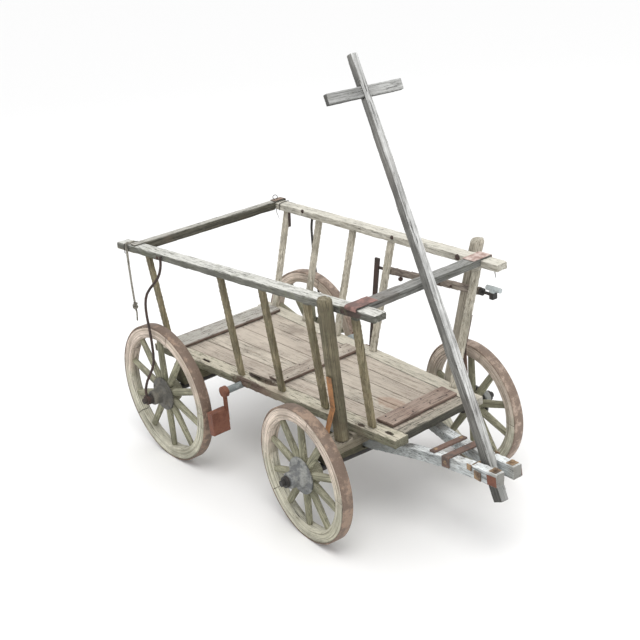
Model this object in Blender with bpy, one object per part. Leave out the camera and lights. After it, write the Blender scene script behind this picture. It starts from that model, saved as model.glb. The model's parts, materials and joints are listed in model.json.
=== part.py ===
"""A small hand-pulled ladder wagon of weathered wood, in metres, with +X forward and +Z up.

The body stands on two axles. The front one turns on a king pin and carries a fork, and a tongue
with a cross handle hinges between the fork's tips. Before the last step the origin is on the
ground under the rear axle; cart_origin then moves it to the middle of the cart.
"""

from math import cos, pi, radians, sin

import bmesh
import bpy
from mathutils import Vector

# Gap left between pieces that touch
SEAT = 0.0003

# Wheels
WHEELBASE = 0.785
REAR_RADIUS = 0.25
FRONT_RADIUS = 0.22
HALF_TRACK = 0.339
TYRE_THICKNESS = 0.005
TYRE_WIDTH = 0.036
FELLOE_DEPTH = 0.037
FELLOE_WIDTH = 0.040
SPOKES = 10
SPOKE_WIDTH = 0.026
SPOKE_DEPTH = 0.020
SPOKE_TENON = 0.006
SPOKE_SIDES = 6
HUB_WOOD_RADIUS = 0.046
HUB_DISC_RADIUS = 0.060
HUB_NOSE_RADIUS = 0.026
HUB_INNER = 0.045
HUB_OUTER = 0.064
ROUND_SEGMENTS = 40
HUB_SEGMENTS = 16

# Axles
ARM_RADIUS = 0.010
ARM_RUNNING_GAP = 0.0008
HUB_END_GAP = 0.001
NUT_RADIUS = 0.018
NUT_LENGTH = 0.011
REAR_ARM_PAST_NUT = 0.021
FRONT_ARM_PAST_NUT = 0.012
AXLE_RADIUS = 0.013
SHOULDER_RADIUS = 0.021
SHOULDER_WIDTH = 0.004
BED_HALF_LENGTH = 0.282

# Lower frame
LOWER_TOP = 0.362
LOWER_HEIGHT = 0.029
LOWER_WIDTH = 0.055
LOWER_REAR_HALF = 0.2526
LOWER_TAPER = 0.0632
LOWER_REAR_END = -0.175
LOWER_FRONT_END = 1.000

# Deck
BOARD_COUNT = 5
BOARD_THICKNESS = 0.014
BOARD_DROP = 0.0015
BOARD_GAP = 0.002
BOARD_JOINT_LEFT = 0.003
DECK_REAR_END = -0.165
MEMBER_FRONT_FACE = 0.985
MEMBER_LENGTH = 0.036
BATTEN_THICKNESS = 0.013
REAR_BATTEN = (-0.135, -0.045)
MIDDLE_BATTEN = (0.385, 0.457)
FRONT_BATTEN = (0.870, 0.940)

# Ladder sides
TOP_AT_REAR_AXLE = 0.768
TOP_RISE = 0.0200
TOP_HEIGHT = 0.025
TOP_WIDTH = 0.046
TOP_REAR_HALF = 0.3257
TOP_TAPER = 0.0536
TOP_REAR_END_RIGHT = -0.205
TOP_REAR_END_LEFT = -0.128
TOP_FRONT_END = 1.037
RUNG_LENGTH_X = 0.027
RUNG_THICKNESS = 0.015
RUNG_INSET = 0.022
RUNG_RAKE = 0.047
RUNG_TENON = 0.012
RUNG_TOPS = (-0.051, 0.145, 0.337, 0.538, 0.737, 0.935)
MISSING_RIGHT = 1
MISSING_LEFT = 4

# Crossbars
REAR_BAR = (-0.124, -0.094)
REAR_BAR_TOP = 0.772
REAR_BAR_HEIGHT = 0.032
BAR_END_INSET = 0.002
FRONT_BAR = (0.924, 0.970)
FRONT_BAR_TOP = 0.793
FRONT_BAR_HEIGHT = 0.024

# Bolsters, king pin and front bed
BOLSTER_LENGTH = 0.056
FRONT_BOLSTER_BOTTOM = 0.285
FRONT_BOLSTER_SHOULDER = 0.318
FRONT_BOLSTER_HALF = 0.296
FRONT_BOLSTER_AHEAD = 0.053
BOLSTER_STEP_OUT = 0.004
WEAR_RADIUS = 0.062
WEAR_THICKNESS = 0.0045
WEAR_RUNNING_GAP = 0.0008
KING_PIN_RADIUS = 0.008
KING_PIN_SHORT = 0.002

# Stakes at the front bolster
STAKE_RADIUS = 0.0235
STAKE_SIDES = 14
STAKE_EDGE = 0.010
STAKE_FOOT = (0.814, 0.233)
STAKE_TOP = 0.817
STAKE_RAKE = 0.066
BRACE_WIDTH = 0.018
BRACE_THICKNESS = 0.004
BRACE_MEETS_STAKE = 0.450
BRACE_TOP = 0.560
BRACE_AHEAD = 0.008

# Iron stays from the top rails to the rear axle ends
STAY_RADIUS = 0.0045
STAY_EYE_RADIUS = 0.017
STAY_EYE_WIDTH = 0.0092

# Brake
SHAFT_X = 0.300
SHAFT_RADIUS = 0.0120
SHAFT_CLEARANCE = 0.0007
SHAFT_HALF = 0.288
BRAKE_BOSS_RADIUS = 0.019
BRAKE_BOSS_WIDTH = 0.016
BRAKE_ARM_WIDTH = 0.014
BRAKE_ARM_THICKNESS = 0.008
SHOE_BOTTOM = 0.190
SHOE_TOP = 0.272
SHOE_ACROSS = (0.293, 0.359)
SHOE_THICKNESS = 0.030
SHOE_SLANT = 0.006
SPINDLE_BOARD = (0.512, 0.943)
SPINDLE_Z = (0.642, 0.676)
SPINDLE_BOARD_HEIGHT = 0.024
SPINDLE_BOARD_THICKNESS = 0.013
BOARD_TO_RUNG = 0.0012
LEVER_X = 0.450
LEVER_RAKE = 0.016
LEVER_TOP = 0.675
LEVER_BOTTOM = 0.300
LEVER_WIDTH = 0.016
LEVER_TOP_WIDTH = 0.021
LEVER_THICKNESS = 0.006
LEVER_PIN = 0.028
LEVER_TO_RAIL = 0.0013
LINK_RADIUS = 0.004
SPINDLE_RADIUS = 0.005
CRANK_BOSS_RADIUS = 0.012
CRANK_BOSS_LENGTH = 0.010
CRANK_WEB_WIDTH = 0.020
CRANK_X = 0.996
CRANK_REACH = 0.024
CRANK_HANDLE = 0.054
CRANK_GRIP_RADIUS = 0.008

# Steering fork, in the front carriage's own frame with its origin at the king pin
STEER_AT_REST = radians(-5.5)
FORK_WIDTH = 0.032
FORK_HEIGHT = 0.034
FORK_LEVEL_END = 0.050
FORK_LOW_RISE = 0.0935
FORK_HIGH_RISE = 0.1150
FORK_PLAN = (
    (-0.150, 0.136),
    (0.000, 0.118),
    (0.050, 0.107),
    (0.200, 0.066),
    (0.310, 0.047),
    (0.410, 0.036),
    (0.525, 0.0325),
)
FORK_REAR_END = FORK_PLAN[0][0]
FORK_TIP = FORK_PLAN[-1][0]
FORK_BAR_X = 0.270
FORK_BAR_WIDTH = 0.022
FORK_BAR_THICKNESS = 0.006
FORK_BAND_X = 0.330
FORK_BAND_WIDTH = 0.030
FORK_BAND_THICKNESS = 0.004
FORK_BAND_DROP = 0.030
REAR_BAR_SIZE = 0.030
REAR_BAR_HALF = 0.170

# Tongue
PIVOT_X = 0.452
PIVOT_Z = 0.297
BOLT_RADIUS = 0.005
STOP_RADIUS = 0.004
BOLT_CLEARANCE = 0.0006
PLATE_SIDE = 0.026
SMALL_PLATE_SIDE = 0.018
PLATE_THICKNESS = 0.003
STOP_ELEVATION = radians(24)
TONGUE_LEAN = radians(24)
TONGUE_ABOVE = 1.228
TONGUE_FOOT = 0.095
TONGUE_WIDTH = 0.029
TONGUE_DEPTH = 0.038
TONGUE_TOP_WIDTH = 0.023
TONGUE_TOP_DEPTH = 0.025
TONGUE_STRAIGHT = 0.120
TONGUE_BEND = 0.030
HANDLE_BELOW_TOP = 0.111
HANDLE_LENGTH = 0.262
HANDLE_HEIGHT = 0.033
HANDLE_DEPTH = 0.018

# Rope hanging from the right top rail
ROPE_RADIUS = 0.0045
ROPE_X = -0.1335
ROPE_KNOT_TOP = 0.556
ROPE_KNOT_LENGTH = 0.026
ROPE_KNOT_RADIUS = 0.011
ROPE_END = 0.487

WOODS = {
    "grey_wood": (0.47, 0.46, 0.41),
    "deck_wood": (0.52, 0.47, 0.40),
    "olive_wood": (0.34, 0.34, 0.26),
    "wheel_wood": (0.45, 0.43, 0.34),
    "pale_wood": (0.60, 0.62, 0.62),
}
IRONS = {
    "rust_iron": (0.24, 0.13, 0.08),
    "dark_iron": (0.13, 0.12, 0.11),
    "red_iron": (0.36, 0.18, 0.14),
    "pipe_iron": (0.42, 0.46, 0.47),
}


def material(name):
    found = bpy.data.materials.get(name)
    if found:
        return found
    made = bpy.data.materials.new(name)
    made.use_nodes = True
    shader = made.node_tree.nodes["Principled BSDF"]
    if name == "hemp":
        colour = (0.50, 0.47, 0.40)
    else:
        colour = WOODS.get(name) or IRONS[name]
    shader.inputs["Base Color"].default_value = (*colour, 1.0)
    shader.inputs["Roughness"].default_value = 0.6 if name in IRONS else 0.85
    shader.inputs["Metallic"].default_value = 0.7 if name in IRONS else 0.0
    return made


def place(name, mesh, finish, parent, smooth=False):
    mesh.materials.append(material(finish))
    if smooth:
        mesh.shade_smooth()
        mesh.set_sharp_from_angle(angle=radians(35))
    obj = bpy.data.objects.new(name, mesh)
    bpy.context.scene.collection.objects.link(obj)
    obj.parent = parent
    return obj


def empty(name, location, parent=None, turn=0.0):
    obj = bpy.data.objects.new(name, None)
    obj.empty_display_size = 0.08
    obj.location = location
    obj.rotation_euler = (0.0, 0.0, turn)
    obj.parent = parent
    bpy.context.scene.collection.objects.link(obj)
    return obj


def mesh_of(name, solids):
    """One mesh from solids, each a list of rings with the same number of points, first to last."""
    shape = bmesh.new()
    for rings in solids:
        rows = [[shape.verts.new(point) for point in ring] for ring in rings]
        for before, after in zip(rows, rows[1:]):
            for i in range(len(before)):
                j = (i + 1) % len(before)
                shape.faces.new((before[i], before[j], after[j], after[i]))
        shape.faces.new(rows[0][::-1])
        shape.faces.new(rows[-1])
    bmesh.ops.recalc_face_normals(shape, faces=shape.faces)
    mesh = bpy.data.meshes.new(name)
    shape.to_mesh(mesh)
    shape.free()
    return mesh


def block(x, y, z):
    """Rings of a box from three (low, high) pairs."""
    return outline_x([(y[0], z[0]), (y[1], z[0]), (y[1], z[1]), (y[0], z[1])], x)


def outline_x(outline, x):
    """Rings of a (y, z) outline drawn from x[0] to x[1]."""
    return [[(side, y, z) for y, z in outline] for side in x]


def rod(points, radius, sides=10):
    """Rings of a round rod along points."""
    path = [Vector(point) for point in points]
    rings = []
    across = None
    for i, point in enumerate(path):
        ahead = (path[min(i + 1, len(path) - 1)] - path[max(i - 1, 0)]).normalized()
        start = across or (Vector((0, 1, 0)) if abs(ahead.y) < 0.9 else Vector((1, 0, 0)))
        across = (start - ahead * start.dot(ahead)).normalized()
        other = ahead.cross(across)
        turns = [2 * pi * k / sides for k in range(sides)]
        rings.append([point + across * radius * cos(a) + other * radius * sin(a) for a in turns])
    return rings


def smooth_path(points, steps=5):
    """A smooth curve through points, read at steps places on each stretch."""
    path = [Vector(point) for point in points]
    padded = [path[0] * 2 - path[1], *path, path[-1] * 2 - path[-2]]
    found = []
    for a, b, c, d in zip(padded, padded[1:], padded[2:], padded[3:]):
        for k in range(steps):
            t = k / steps
            bend = (d - c * 3 + b * 3 - a) * t**3 + (a * 2 - b * 5 + c * 4 - d) * t**2
            found.append((bend + (c - a) * t + b * 2) * 0.5)
    return [*found, path[-1]]


def turned(name, profile, segments):
    """A ring turned about Y from a closed profile of (y, radius) points."""
    shape = bmesh.new()
    rows = []
    for k in range(segments):
        angle = 2 * pi * (k + 0.5) / segments
        row = [(radius * cos(angle), y, radius * sin(angle)) for y, radius in profile]
        rows.append([shape.verts.new(point) for point in row])
    for before, after in zip(rows, rows[1:] + rows[:1]):
        for i in range(len(profile)):
            j = (i + 1) % len(profile)
            shape.faces.new((before[i], before[j], after[j], after[i]))
    bmesh.ops.recalc_face_normals(shape, faces=shape.faces)
    mesh = bpy.data.meshes.new(name)
    shape.to_mesh(mesh)
    shape.free()
    return mesh


def disc_rings(profile, centre, segments, axis="y"):
    """Rings of a solid turned piece with flat ends, from (along, radius) points."""
    rings = []
    for along, radius in profile:
        ring = []
        for k in range(segments):
            angle = 2 * pi * (k + 0.5) / segments
            a, b = radius * cos(angle), radius * sin(angle)
            offset = {"x": (along, a, b), "y": (a, along, b), "z": (a, b, along)}[axis]
            ring.append(Vector(centre) + Vector(offset))
        rings.append(ring)
    return rings


def cut(obj, mesh, parent):
    """Cuts mesh out of obj."""
    cutter = place(f"{obj.name}_cutter", mesh, "dark_iron", parent)
    cutter.hide_render = True
    cutter.display_type = "WIRE"
    difference = obj.modifiers.new("cut", "BOOLEAN")
    difference.operation = "DIFFERENCE"
    difference.object = cutter


def drill(obj, start, end, radius, parent, sides=16):
    """Cuts a round hole through obj, from start to end in the parent's frame."""
    cut(obj, mesh_of("cutter", [rod([start, end], radius, sides)]), parent)


def join(obj, mesh, parent):
    """Adds mesh to obj as one body with it."""
    helper = place(f"{obj.name}_joined", mesh, "dark_iron", parent)
    helper.hide_render = True
    helper.display_type = "WIRE"
    union = obj.modifiers.new("joined", "BOOLEAN")
    union.operation = "UNION"
    union.object = helper


# Places that follow from the sizes above


def lower_half(x):
    """Half the width over the lower rails."""
    return LOWER_REAR_HALF - LOWER_TAPER * x


def top_half(x):
    """Half the width over the top rails."""
    return TOP_REAR_HALF - TOP_TAPER * x


def rail_top(x):
    return TOP_AT_REAR_AXLE + TOP_RISE * x


def rail_bottom(x):
    return rail_top(x) - TOP_HEIGHT


LOWER_BOTTOM = LOWER_TOP - LOWER_HEIGHT
BOARD_TOP = LOWER_TOP - BOARD_DROP
BOARD_BOTTOM = BOARD_TOP - BOARD_THICKNESS
HUB_START = HALF_TRACK - HUB_INNER
HUB_END = HALF_TRACK + HUB_OUTER
SHAFT_Z = BOARD_BOTTOM - SHAFT_RADIUS - 0.001
FORK_BOTTOM = FRONT_BOLSTER_BOTTOM - 2 * WEAR_THICKNESS - WEAR_RUNNING_GAP - SEAT - FORK_HEIGHT
BED_TOP = FORK_BOTTOM + FORK_HEIGHT
BED_BOTTOM = FRONT_RADIUS + AXLE_RADIUS + SEAT
MEMBER_REAR_FACE = MEMBER_FRONT_FACE - MEMBER_LENGTH
TIP_CORNER = FORK_PLAN[-1][1] + FORK_WIDTH / 2
CART_FRONT = WHEELBASE + FORK_TIP * cos(STEER_AT_REST) + TIP_CORNER * abs(sin(STEER_AT_REST))
CART_MIDDLE = (CART_FRONT - REAR_RADIUS) / 2


def fork_centre(x):
    """Half the spacing of the fork arms' centre lines at x."""
    for (x0, y0), (x1, y1) in zip(FORK_PLAN, FORK_PLAN[1:]):
        if x <= x1:
            return y0 + (y1 - y0) * (x - x0) / (x1 - x0)
    return FORK_PLAN[-1][1]


def fork_low(x):
    return FORK_BOTTOM + FORK_LOW_RISE * max(0.0, x - FORK_LEVEL_END)


def fork_high(x):
    return FORK_BOTTOM + FORK_HEIGHT + FORK_HIGH_RISE * max(0.0, x - FORK_LEVEL_END)


def spindle_z(x):
    """Height of the brake screw's board at x. It rises to the front."""
    share = (x - SPINDLE_BOARD[0]) / (SPINDLE_BOARD[1] - SPINDLE_BOARD[0])
    return SPINDLE_Z[0] + (SPINDLE_Z[1] - SPINDLE_Z[0]) * share


def make_wheel(tag, side, radius, parent):
    """A spoked wooden wheel with an iron tyre. side is -1 on the right and 1 on the left."""
    flat = 1 / cos(pi / ROUND_SEGMENTS)
    tyre_inner = (radius - TYRE_THICKNESS) * flat
    half = TYRE_WIDTH / 2
    profile = [(-half, tyre_inner), (half, tyre_inner), (half, radius * flat), (-half, radius * flat)]
    place(f"tyre_{tag}", turned("tyre", profile, ROUND_SEGMENTS), "rust_iron", parent, True)

    outer = (radius - TYRE_THICKNESS - SEAT) * flat
    inner = (radius - TYRE_THICKNESS - SEAT - FELLOE_DEPTH) * flat
    edge = 0.004
    half = FELLOE_WIDTH / 2
    profile = [
        (-half, inner + edge),
        (-half + edge, inner),
        (half - edge, inner),
        (half, inner + edge),
        (half, outer - edge),
        (half - edge, outer),
        (-half + edge, outer),
        (-half, outer - edge),
    ]
    wheel = place(f"wheel_{tag}", turned("wheel", profile, ROUND_SEGMENTS), "wheel_wood", parent, True)

    spokes = []
    root = HUB_WOOD_RADIUS - SPOKE_TENON
    tip = inner + SPOKE_TENON
    for k in range(SPOKES):
        angle = 2 * pi * (k + 0.5) / SPOKES
        out = Vector((cos(angle), 0, sin(angle)))
        across = Vector((-sin(angle), 0, cos(angle)))
        rings = []
        for reach, width, depth in ((root, 0.8, 1.1), (root + 0.035, 1.0, 1.0), (tip, 0.85, 0.9)):
            ring = []
            for j in range(SPOKE_SIDES):
                turn = 2 * pi * (j + 0.5) / SPOKE_SIDES
                wide = across * (cos(turn) * SPOKE_WIDTH * width / 2)
                ring.append(out * reach + wide + Vector((0, sin(turn) * SPOKE_DEPTH * depth / 2, 0)))
            rings.append(ring)
        spokes.append(rings)
    join(wheel, mesh_of("spokes", spokes), parent)

    bore = ARM_RADIUS + ARM_RUNNING_GAP
    profile = [
        (-HUB_INNER, bore),
        (-HUB_INNER, 0.032),
        (-0.020, HUB_WOOD_RADIUS - 0.002),
        (-0.014, HUB_WOOD_RADIUS),
        (0.012, HUB_WOOD_RADIUS),
        (0.0125, HUB_DISC_RADIUS),
        (0.0185, HUB_DISC_RADIUS),
        (0.021, 0.040),
        (0.032, 0.036),
        (0.035, HUB_NOSE_RADIUS + 0.002),
        (HUB_OUTER - 0.004, HUB_NOSE_RADIUS),
        (HUB_OUTER, HUB_NOSE_RADIUS - 0.004),
        (HUB_OUTER, bore),
    ]
    join(wheel, turned("nave", [(side * along, around) for along, around in profile], HUB_SEGMENTS), parent)


def make_axle(name, x, z, past_nut, parent):
    """An iron axle under its bed, with a shoulder, a round arm and a nut at each end."""
    shoulder = HUB_START - HUB_END_GAP
    nut = HUB_END + HUB_END_GAP
    half = [
        (shoulder - SHOULDER_WIDTH, AXLE_RADIUS),
        (shoulder - SHOULDER_WIDTH, SHOULDER_RADIUS),
        (shoulder, SHOULDER_RADIUS),
        (shoulder, ARM_RADIUS),
        (nut, ARM_RADIUS),
        (nut, NUT_RADIUS),
        (nut + NUT_LENGTH, NUT_RADIUS),
        (nut + NUT_LENGTH, ARM_RADIUS),
        (nut + NUT_LENGTH + past_nut, ARM_RADIUS),
    ]
    profile = [(-along, around) for along, around in half[::-1]] + half
    place(name, mesh_of(name, [disc_rings(profile, (x, 0, z), 16)]), "dark_iron", parent, True)


def make_lower_frame(root):
    for tag, side in (("right", -1), ("left", 1)):
        rings = []
        for x in (LOWER_REAR_END, LOWER_FRONT_END):
            outer, inner = side * lower_half(x), side * (lower_half(x) - LOWER_WIDTH)
            low, high = LOWER_BOTTOM, LOWER_TOP
            rings.append([(x, outer, low), (x, outer, high), (x, inner, high), (x, inner, low)])
        rail = place(f"lower_rail_{tag}", mesh_of("lower_rail", [rings]), "grey_wood", root)
        start = side * (lower_half(SHAFT_X) + LOWER_WIDTH / 2)
        end = side * (lower_half(SHAFT_X) - LOWER_WIDTH * 1.5)
        hole = SHAFT_RADIUS + SHAFT_CLEARANCE
        drill(rail, (SHAFT_X, start, SHAFT_Z), (SHAFT_X, end, SHAFT_Z), hole, root, 20)

    rings = []
    for x in (DECK_REAR_END, MEMBER_REAR_FACE - SEAT):
        half = lower_half(x) - LOWER_WIDTH - BOARD_GAP
        pitch = (2 * half + BOARD_GAP) / BOARD_COUNT
        outline = [(x, half, BOARD_BOTTOM), (x, -half, BOARD_BOTTOM), (x, -half, BOARD_TOP)]
        for k in range(1, BOARD_COUNT):
            edge = -half + k * pitch
            start = edge - BOARD_GAP
            floor = BOARD_BOTTOM + BOARD_JOINT_LEFT
            outline += [(x, start, BOARD_TOP), (x, start, floor), (x, edge, floor), (x, edge, BOARD_TOP)]
        outline.append((x, half, BOARD_TOP))
        rings.append(outline)
    place("deck_boards", mesh_of("deck_boards", [rings]), "deck_wood", root)

    def between_rails(x, bottom, top):
        rings = []
        for at in x:
            half = lower_half(at) - LOWER_WIDTH - SEAT
            rings.append([(at, -half, bottom), (at, half, bottom), (at, half, top), (at, -half, top)])
        return rings

    member = between_rails((MEMBER_REAR_FACE, MEMBER_FRONT_FACE), LOWER_BOTTOM, LOWER_TOP)
    place("front_cross_member", mesh_of("front_cross_member", [member]), "grey_wood", root)

    rear_half = lower_half(REAR_BATTEN[1]) - RUNG_INSET - RUNG_THICKNESS / 2 - BOARD_GAP
    rear_low = LOWER_TOP + SEAT
    rear = block(REAR_BATTEN, (-rear_half, rear_half), (rear_low, rear_low + BATTEN_THICKNESS))
    place("rear_cross_board", mesh_of("rear_cross_board", [rear]), "grey_wood", root)
    low = BOARD_TOP + SEAT
    for name, x in (("deck_batten_middle", MIDDLE_BATTEN), ("deck_batten_front", FRONT_BATTEN)):
        place(name, mesh_of(name, [between_rails(x, low, low + BATTEN_THICKNESS)]), "deck_wood", root)


def make_ladder(tag, side, rear_end, missing, root):
    """A top rail with its rungs, which stand on the lower rail."""
    rings = []
    for x in (rear_end, TOP_FRONT_END):
        outer, inner = side * top_half(x), side * (top_half(x) - TOP_WIDTH)
        low, high = rail_bottom(x), rail_top(x)
        rings.append([(x, outer, low), (x, outer, high), (x, inner, high), (x, inner, low)])
    ladder = place(f"ladder_{tag}", mesh_of("top_rail", [rings]), "grey_wood", root)

    rungs = []
    for k, top in enumerate(RUNG_TOPS):
        if k == missing:
            continue
        foot = top - RUNG_RAKE
        low, high = [], []
        for dx, dy in ((-1, -1), (1, -1), (1, 1), (-1, 1)):
            x0, x1 = foot + dx * RUNG_LENGTH_X / 2, top + dx * RUNG_LENGTH_X / 2
            y0 = side * (lower_half(foot) - RUNG_INSET) + dy * RUNG_THICKNESS / 2
            y1 = side * (top_half(top) - RUNG_INSET) + dy * RUNG_THICKNESS / 2
            low.append((x0, y0, LOWER_TOP + SEAT))
            high.append((x1, y1, rail_bottom(x1) + RUNG_TENON))
        rungs.append([low, high])
    join(ladder, mesh_of("rungs", rungs), root)


def make_crossbar(name, x, top, height, root):
    """A bar let in between the top rails, with thin ends that lap over them."""
    outer = top_half(x[1]) - BAR_END_INSET
    inner = top_half(x[1]) - TOP_WIDTH - SEAT
    lap = rail_top(x[1]) + SEAT
    left = [(inner, top - height), (inner, lap), (outer, lap), (outer, top)]
    outline = left + [(-y, z) for y, z in left[::-1]]
    place(name, mesh_of(name, [outline_x(outline, x)]), "grey_wood", root)


def make_rear_bolster(root):
    inner = lower_half(BOLSTER_LENGTH / 2) - LOWER_WIDTH - 2 * SEAT
    half = BED_HALF_LENGTH
    low, seat, high = REAR_RADIUS + AXLE_RADIUS + SEAT, LOWER_BOTTOM - SEAT, BOARD_BOTTOM - SEAT
    left = [(half, low), (half, seat), (inner, seat), (inner, high)]
    outline = left + [(-y, z) for y, z in left[::-1]]
    x = (-BOLSTER_LENGTH / 2, BOLSTER_LENGTH / 2)
    place("bolster_rear", mesh_of("bolster_rear", [outline_x(outline, x)]), "olive_wood", root)
    make_axle("axle_rear", 0.0, REAR_RADIUS, REAR_ARM_PAST_NUT, root)


def make_front_bolster(root):
    x = (WHEELBASE - BOLSTER_LENGTH / 2, WHEELBASE + FRONT_BOLSTER_AHEAD)
    inner = lower_half(x[1]) - LOWER_WIDTH - 2 * SEAT
    under = lower_half(x[0]) + BOLSTER_STEP_OUT
    half = FRONT_BOLSTER_HALF
    low, shoulder = FRONT_BOLSTER_BOTTOM, FRONT_BOLSTER_SHOULDER
    seat, high = LOWER_BOTTOM - SEAT, BOARD_BOTTOM - SEAT
    left = [(half, low), (half, shoulder), (under, shoulder), (under, seat), (inner, seat), (inner, high)]
    outline = left + [(-y, z) for y, z in left[::-1]]
    place("bolster_front", mesh_of("bolster_front", [outline_x(outline, x)]), "grey_wood", root)

    top = low - SEAT
    profile = [
        (top, WEAR_RADIUS),
        (top - WEAR_THICKNESS, WEAR_RADIUS),
        (top - WEAR_THICKNESS, KING_PIN_RADIUS),
        (BED_BOTTOM + KING_PIN_SHORT, KING_PIN_RADIUS),
    ]
    pin = mesh_of("king_pin", [disc_rings(profile, (WHEELBASE, 0, 0), 24, "z")])
    place("king_pin", pin, "dark_iron", root, True)


def stake_at(z):
    """Centre of a stake at height z, as (x, half spacing). It leans out to the top rail's edge."""
    foot_z = FRONT_BOLSTER_SHOULDER + SEAT
    share = (z - foot_z) / (STAKE_TOP - foot_z)
    x = STAKE_FOOT[0] + STAKE_RAKE * share
    rail_share = (rail_bottom(STAKE_FOOT[0] + STAKE_RAKE) - foot_z) / (STAKE_TOP - foot_z)
    meets_x = STAKE_FOOT[0] + STAKE_RAKE * rail_share
    meets_y = top_half(meets_x - STAKE_RADIUS) + STAKE_RADIUS + SEAT
    return x, STAKE_FOOT[1] + (meets_y - STAKE_FOOT[1]) * share / rail_share


def make_stakes(root):
    for tag, side in (("right", -1), ("left", 1)):
        rings = []
        for z, radius in (
            (FRONT_BOLSTER_SHOULDER + SEAT, STAKE_RADIUS),
            (STAKE_TOP - STAKE_EDGE, STAKE_RADIUS),
            (STAKE_TOP, STAKE_RADIUS - STAKE_EDGE / 2),
        ):
            x, half = stake_at(z)
            turns = [2 * pi * k / STAKE_SIDES for k in range(STAKE_SIDES)]
            rings.append([(x + radius * cos(a), side * half + radius * sin(a), z) for a in turns])
        place(f"stake_{tag}", mesh_of("stake", [rings]), "olive_wood", root, True)

    for tag, side in (("right", -1), ("left", 1)):
        inner = FRONT_BOLSTER_HALF + SEAT
        base_x = STAKE_FOOT[0] + BRACE_AHEAD
        route = [
            (base_x, inner, FRONT_BOLSTER_BOTTOM + BRACE_THICKNESS),
            (base_x, inner, FRONT_BOLSTER_SHOULDER + BRACE_THICKNESS),
            (base_x, inner + BRACE_THICKNESS, FRONT_BOLSTER_SHOULDER + 2 * BRACE_WIDTH),
        ]
        for z in (BRACE_MEETS_STAKE, BRACE_TOP):
            x, half = stake_at(z)
            route.append((x + BRACE_AHEAD, half + STAKE_RADIUS + 2 * SEAT, z))
        rings = []
        for at, y, z in route:
            low, high = at - BRACE_WIDTH / 2, at + BRACE_WIDTH / 2
            far = y + BRACE_THICKNESS
            near, far = side * y, side * far
            rings.append([(low, near, z), (high, near, z), (high, far, z), (low, far, z)])
        place(f"stake_brace_{tag}", mesh_of("stake_brace", [rings]), "rust_iron", root)


def make_stays(root):
    """Bent iron rods from the top rails' outer faces to the rear axle's ends, outside the wheels."""
    clear = HALF_TRACK + FELLOE_WIDTH / 2 + STAY_RADIUS + 0.008
    eye = HUB_END + HUB_END_GAP + NUT_LENGTH + SEAT + STAY_EYE_WIDTH / 2
    for tag, side in (("right", -1), ("left", 1)):
        face = top_half(0.05) + STAY_RADIUS + SEAT
        route = [
            (0.062, face, rail_top(0.062) - 0.006),
            (0.060, face + 0.001, rail_bottom(0.062) - 0.014),
            (0.042, face + 0.008, REAR_RADIUS + 0.435),
            (0.006, clear - 0.008, REAR_RADIUS + 0.380),
            (-0.004, clear, REAR_RADIUS + 0.320),
            (0.002, clear, REAR_RADIUS + 0.230),
            (0.006, clear + 0.006, REAR_RADIUS + 0.130),
            (0.003, eye - 0.010, REAR_RADIUS + 0.072),
            (0.0, eye, REAR_RADIUS + STAY_EYE_RADIUS + 0.022),
            (0.0, eye, REAR_RADIUS + (STAY_EYE_RADIUS + ARM_RADIUS) / 2),
        ]
        path = smooth_path([(x, side * y, z) for x, y, z in route], 3)
        stay = place(f"stay_{tag}", mesh_of("stay", [rod(path, STAY_RADIUS, 8)]), "dark_iron", root, True)
        half = STAY_EYE_WIDTH / 2
        bore = ARM_RADIUS + SEAT
        profile = [(-half, bore), (half, bore), (half, STAY_EYE_RADIUS), (-half, STAY_EYE_RADIUS)]
        ring = turned("stay_eye", profile, 16)
        for vertex in ring.vertices:
            vertex.co += Vector((0, side * eye, REAR_RADIUS))
        join(stay, ring, root)


def make_brake(root):
    z = SHAFT_Z
    shaft = rod([(SHAFT_X, -SHAFT_HALF, z), (SHAFT_X, SHAFT_HALF, z)], SHAFT_RADIUS, 16)
    place("brake_shaft", mesh_of("brake_shaft", [shaft]), "pipe_iron", root, True)

    for tag, side in (("right", -1), ("left", 1)):
        inner = SHAFT_HALF + SEAT
        ends = [(side * inner, BRAKE_BOSS_RADIUS), (side * (inner + BRAKE_BOSS_WIDTH), BRAKE_BOSS_RADIUS)]
        boss = mesh_of("brake_arm", [disc_rings(ends, (SHAFT_X, 0, z), 14)])
        arm = place(f"brake_arm_{tag}", boss, "rust_iron", root)
        middle = inner + BRAKE_BOSS_WIDTH / 2
        half = BRAKE_ARM_WIDTH / 2
        x = (SHAFT_X - half, SHAFT_X + half)
        thin = BRAKE_ARM_THICKNESS / 2
        y = sorted((side * (middle - thin), side * (middle + thin)))
        join(arm, mesh_of("bar", [block(x, y, ((SHOE_BOTTOM + SHOE_TOP) / 2, z))]), root)
        y = sorted((side * SHOE_ACROSS[0], side * SHOE_ACROSS[1]))
        rear = SHAFT_X + half - SHOE_THICKNESS
        front = SHAFT_X + half - BRAKE_ARM_WIDTH / 10
        corners = (
            (rear + SHOE_SLANT, SHOE_BOTTOM),
            (front, SHOE_BOTTOM + SHOE_SLANT / 2),
            (front, SHOE_TOP),
            (rear, SHOE_TOP),
        )
        shoe = [[(x, at, z) for x, z in corners] for at in y]
        join(arm, mesh_of("shoe", [shoe]), root)


def rung_outer(x, z):
    """The left rungs' outer face at height z, near x."""
    share = (z - LOWER_TOP) / (rail_bottom(x) - LOWER_TOP)
    low, high = lower_half(x) - RUNG_INSET, top_half(x) - RUNG_INSET
    return low + (high - low) * share + RUNG_THICKNESS / 2


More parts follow.
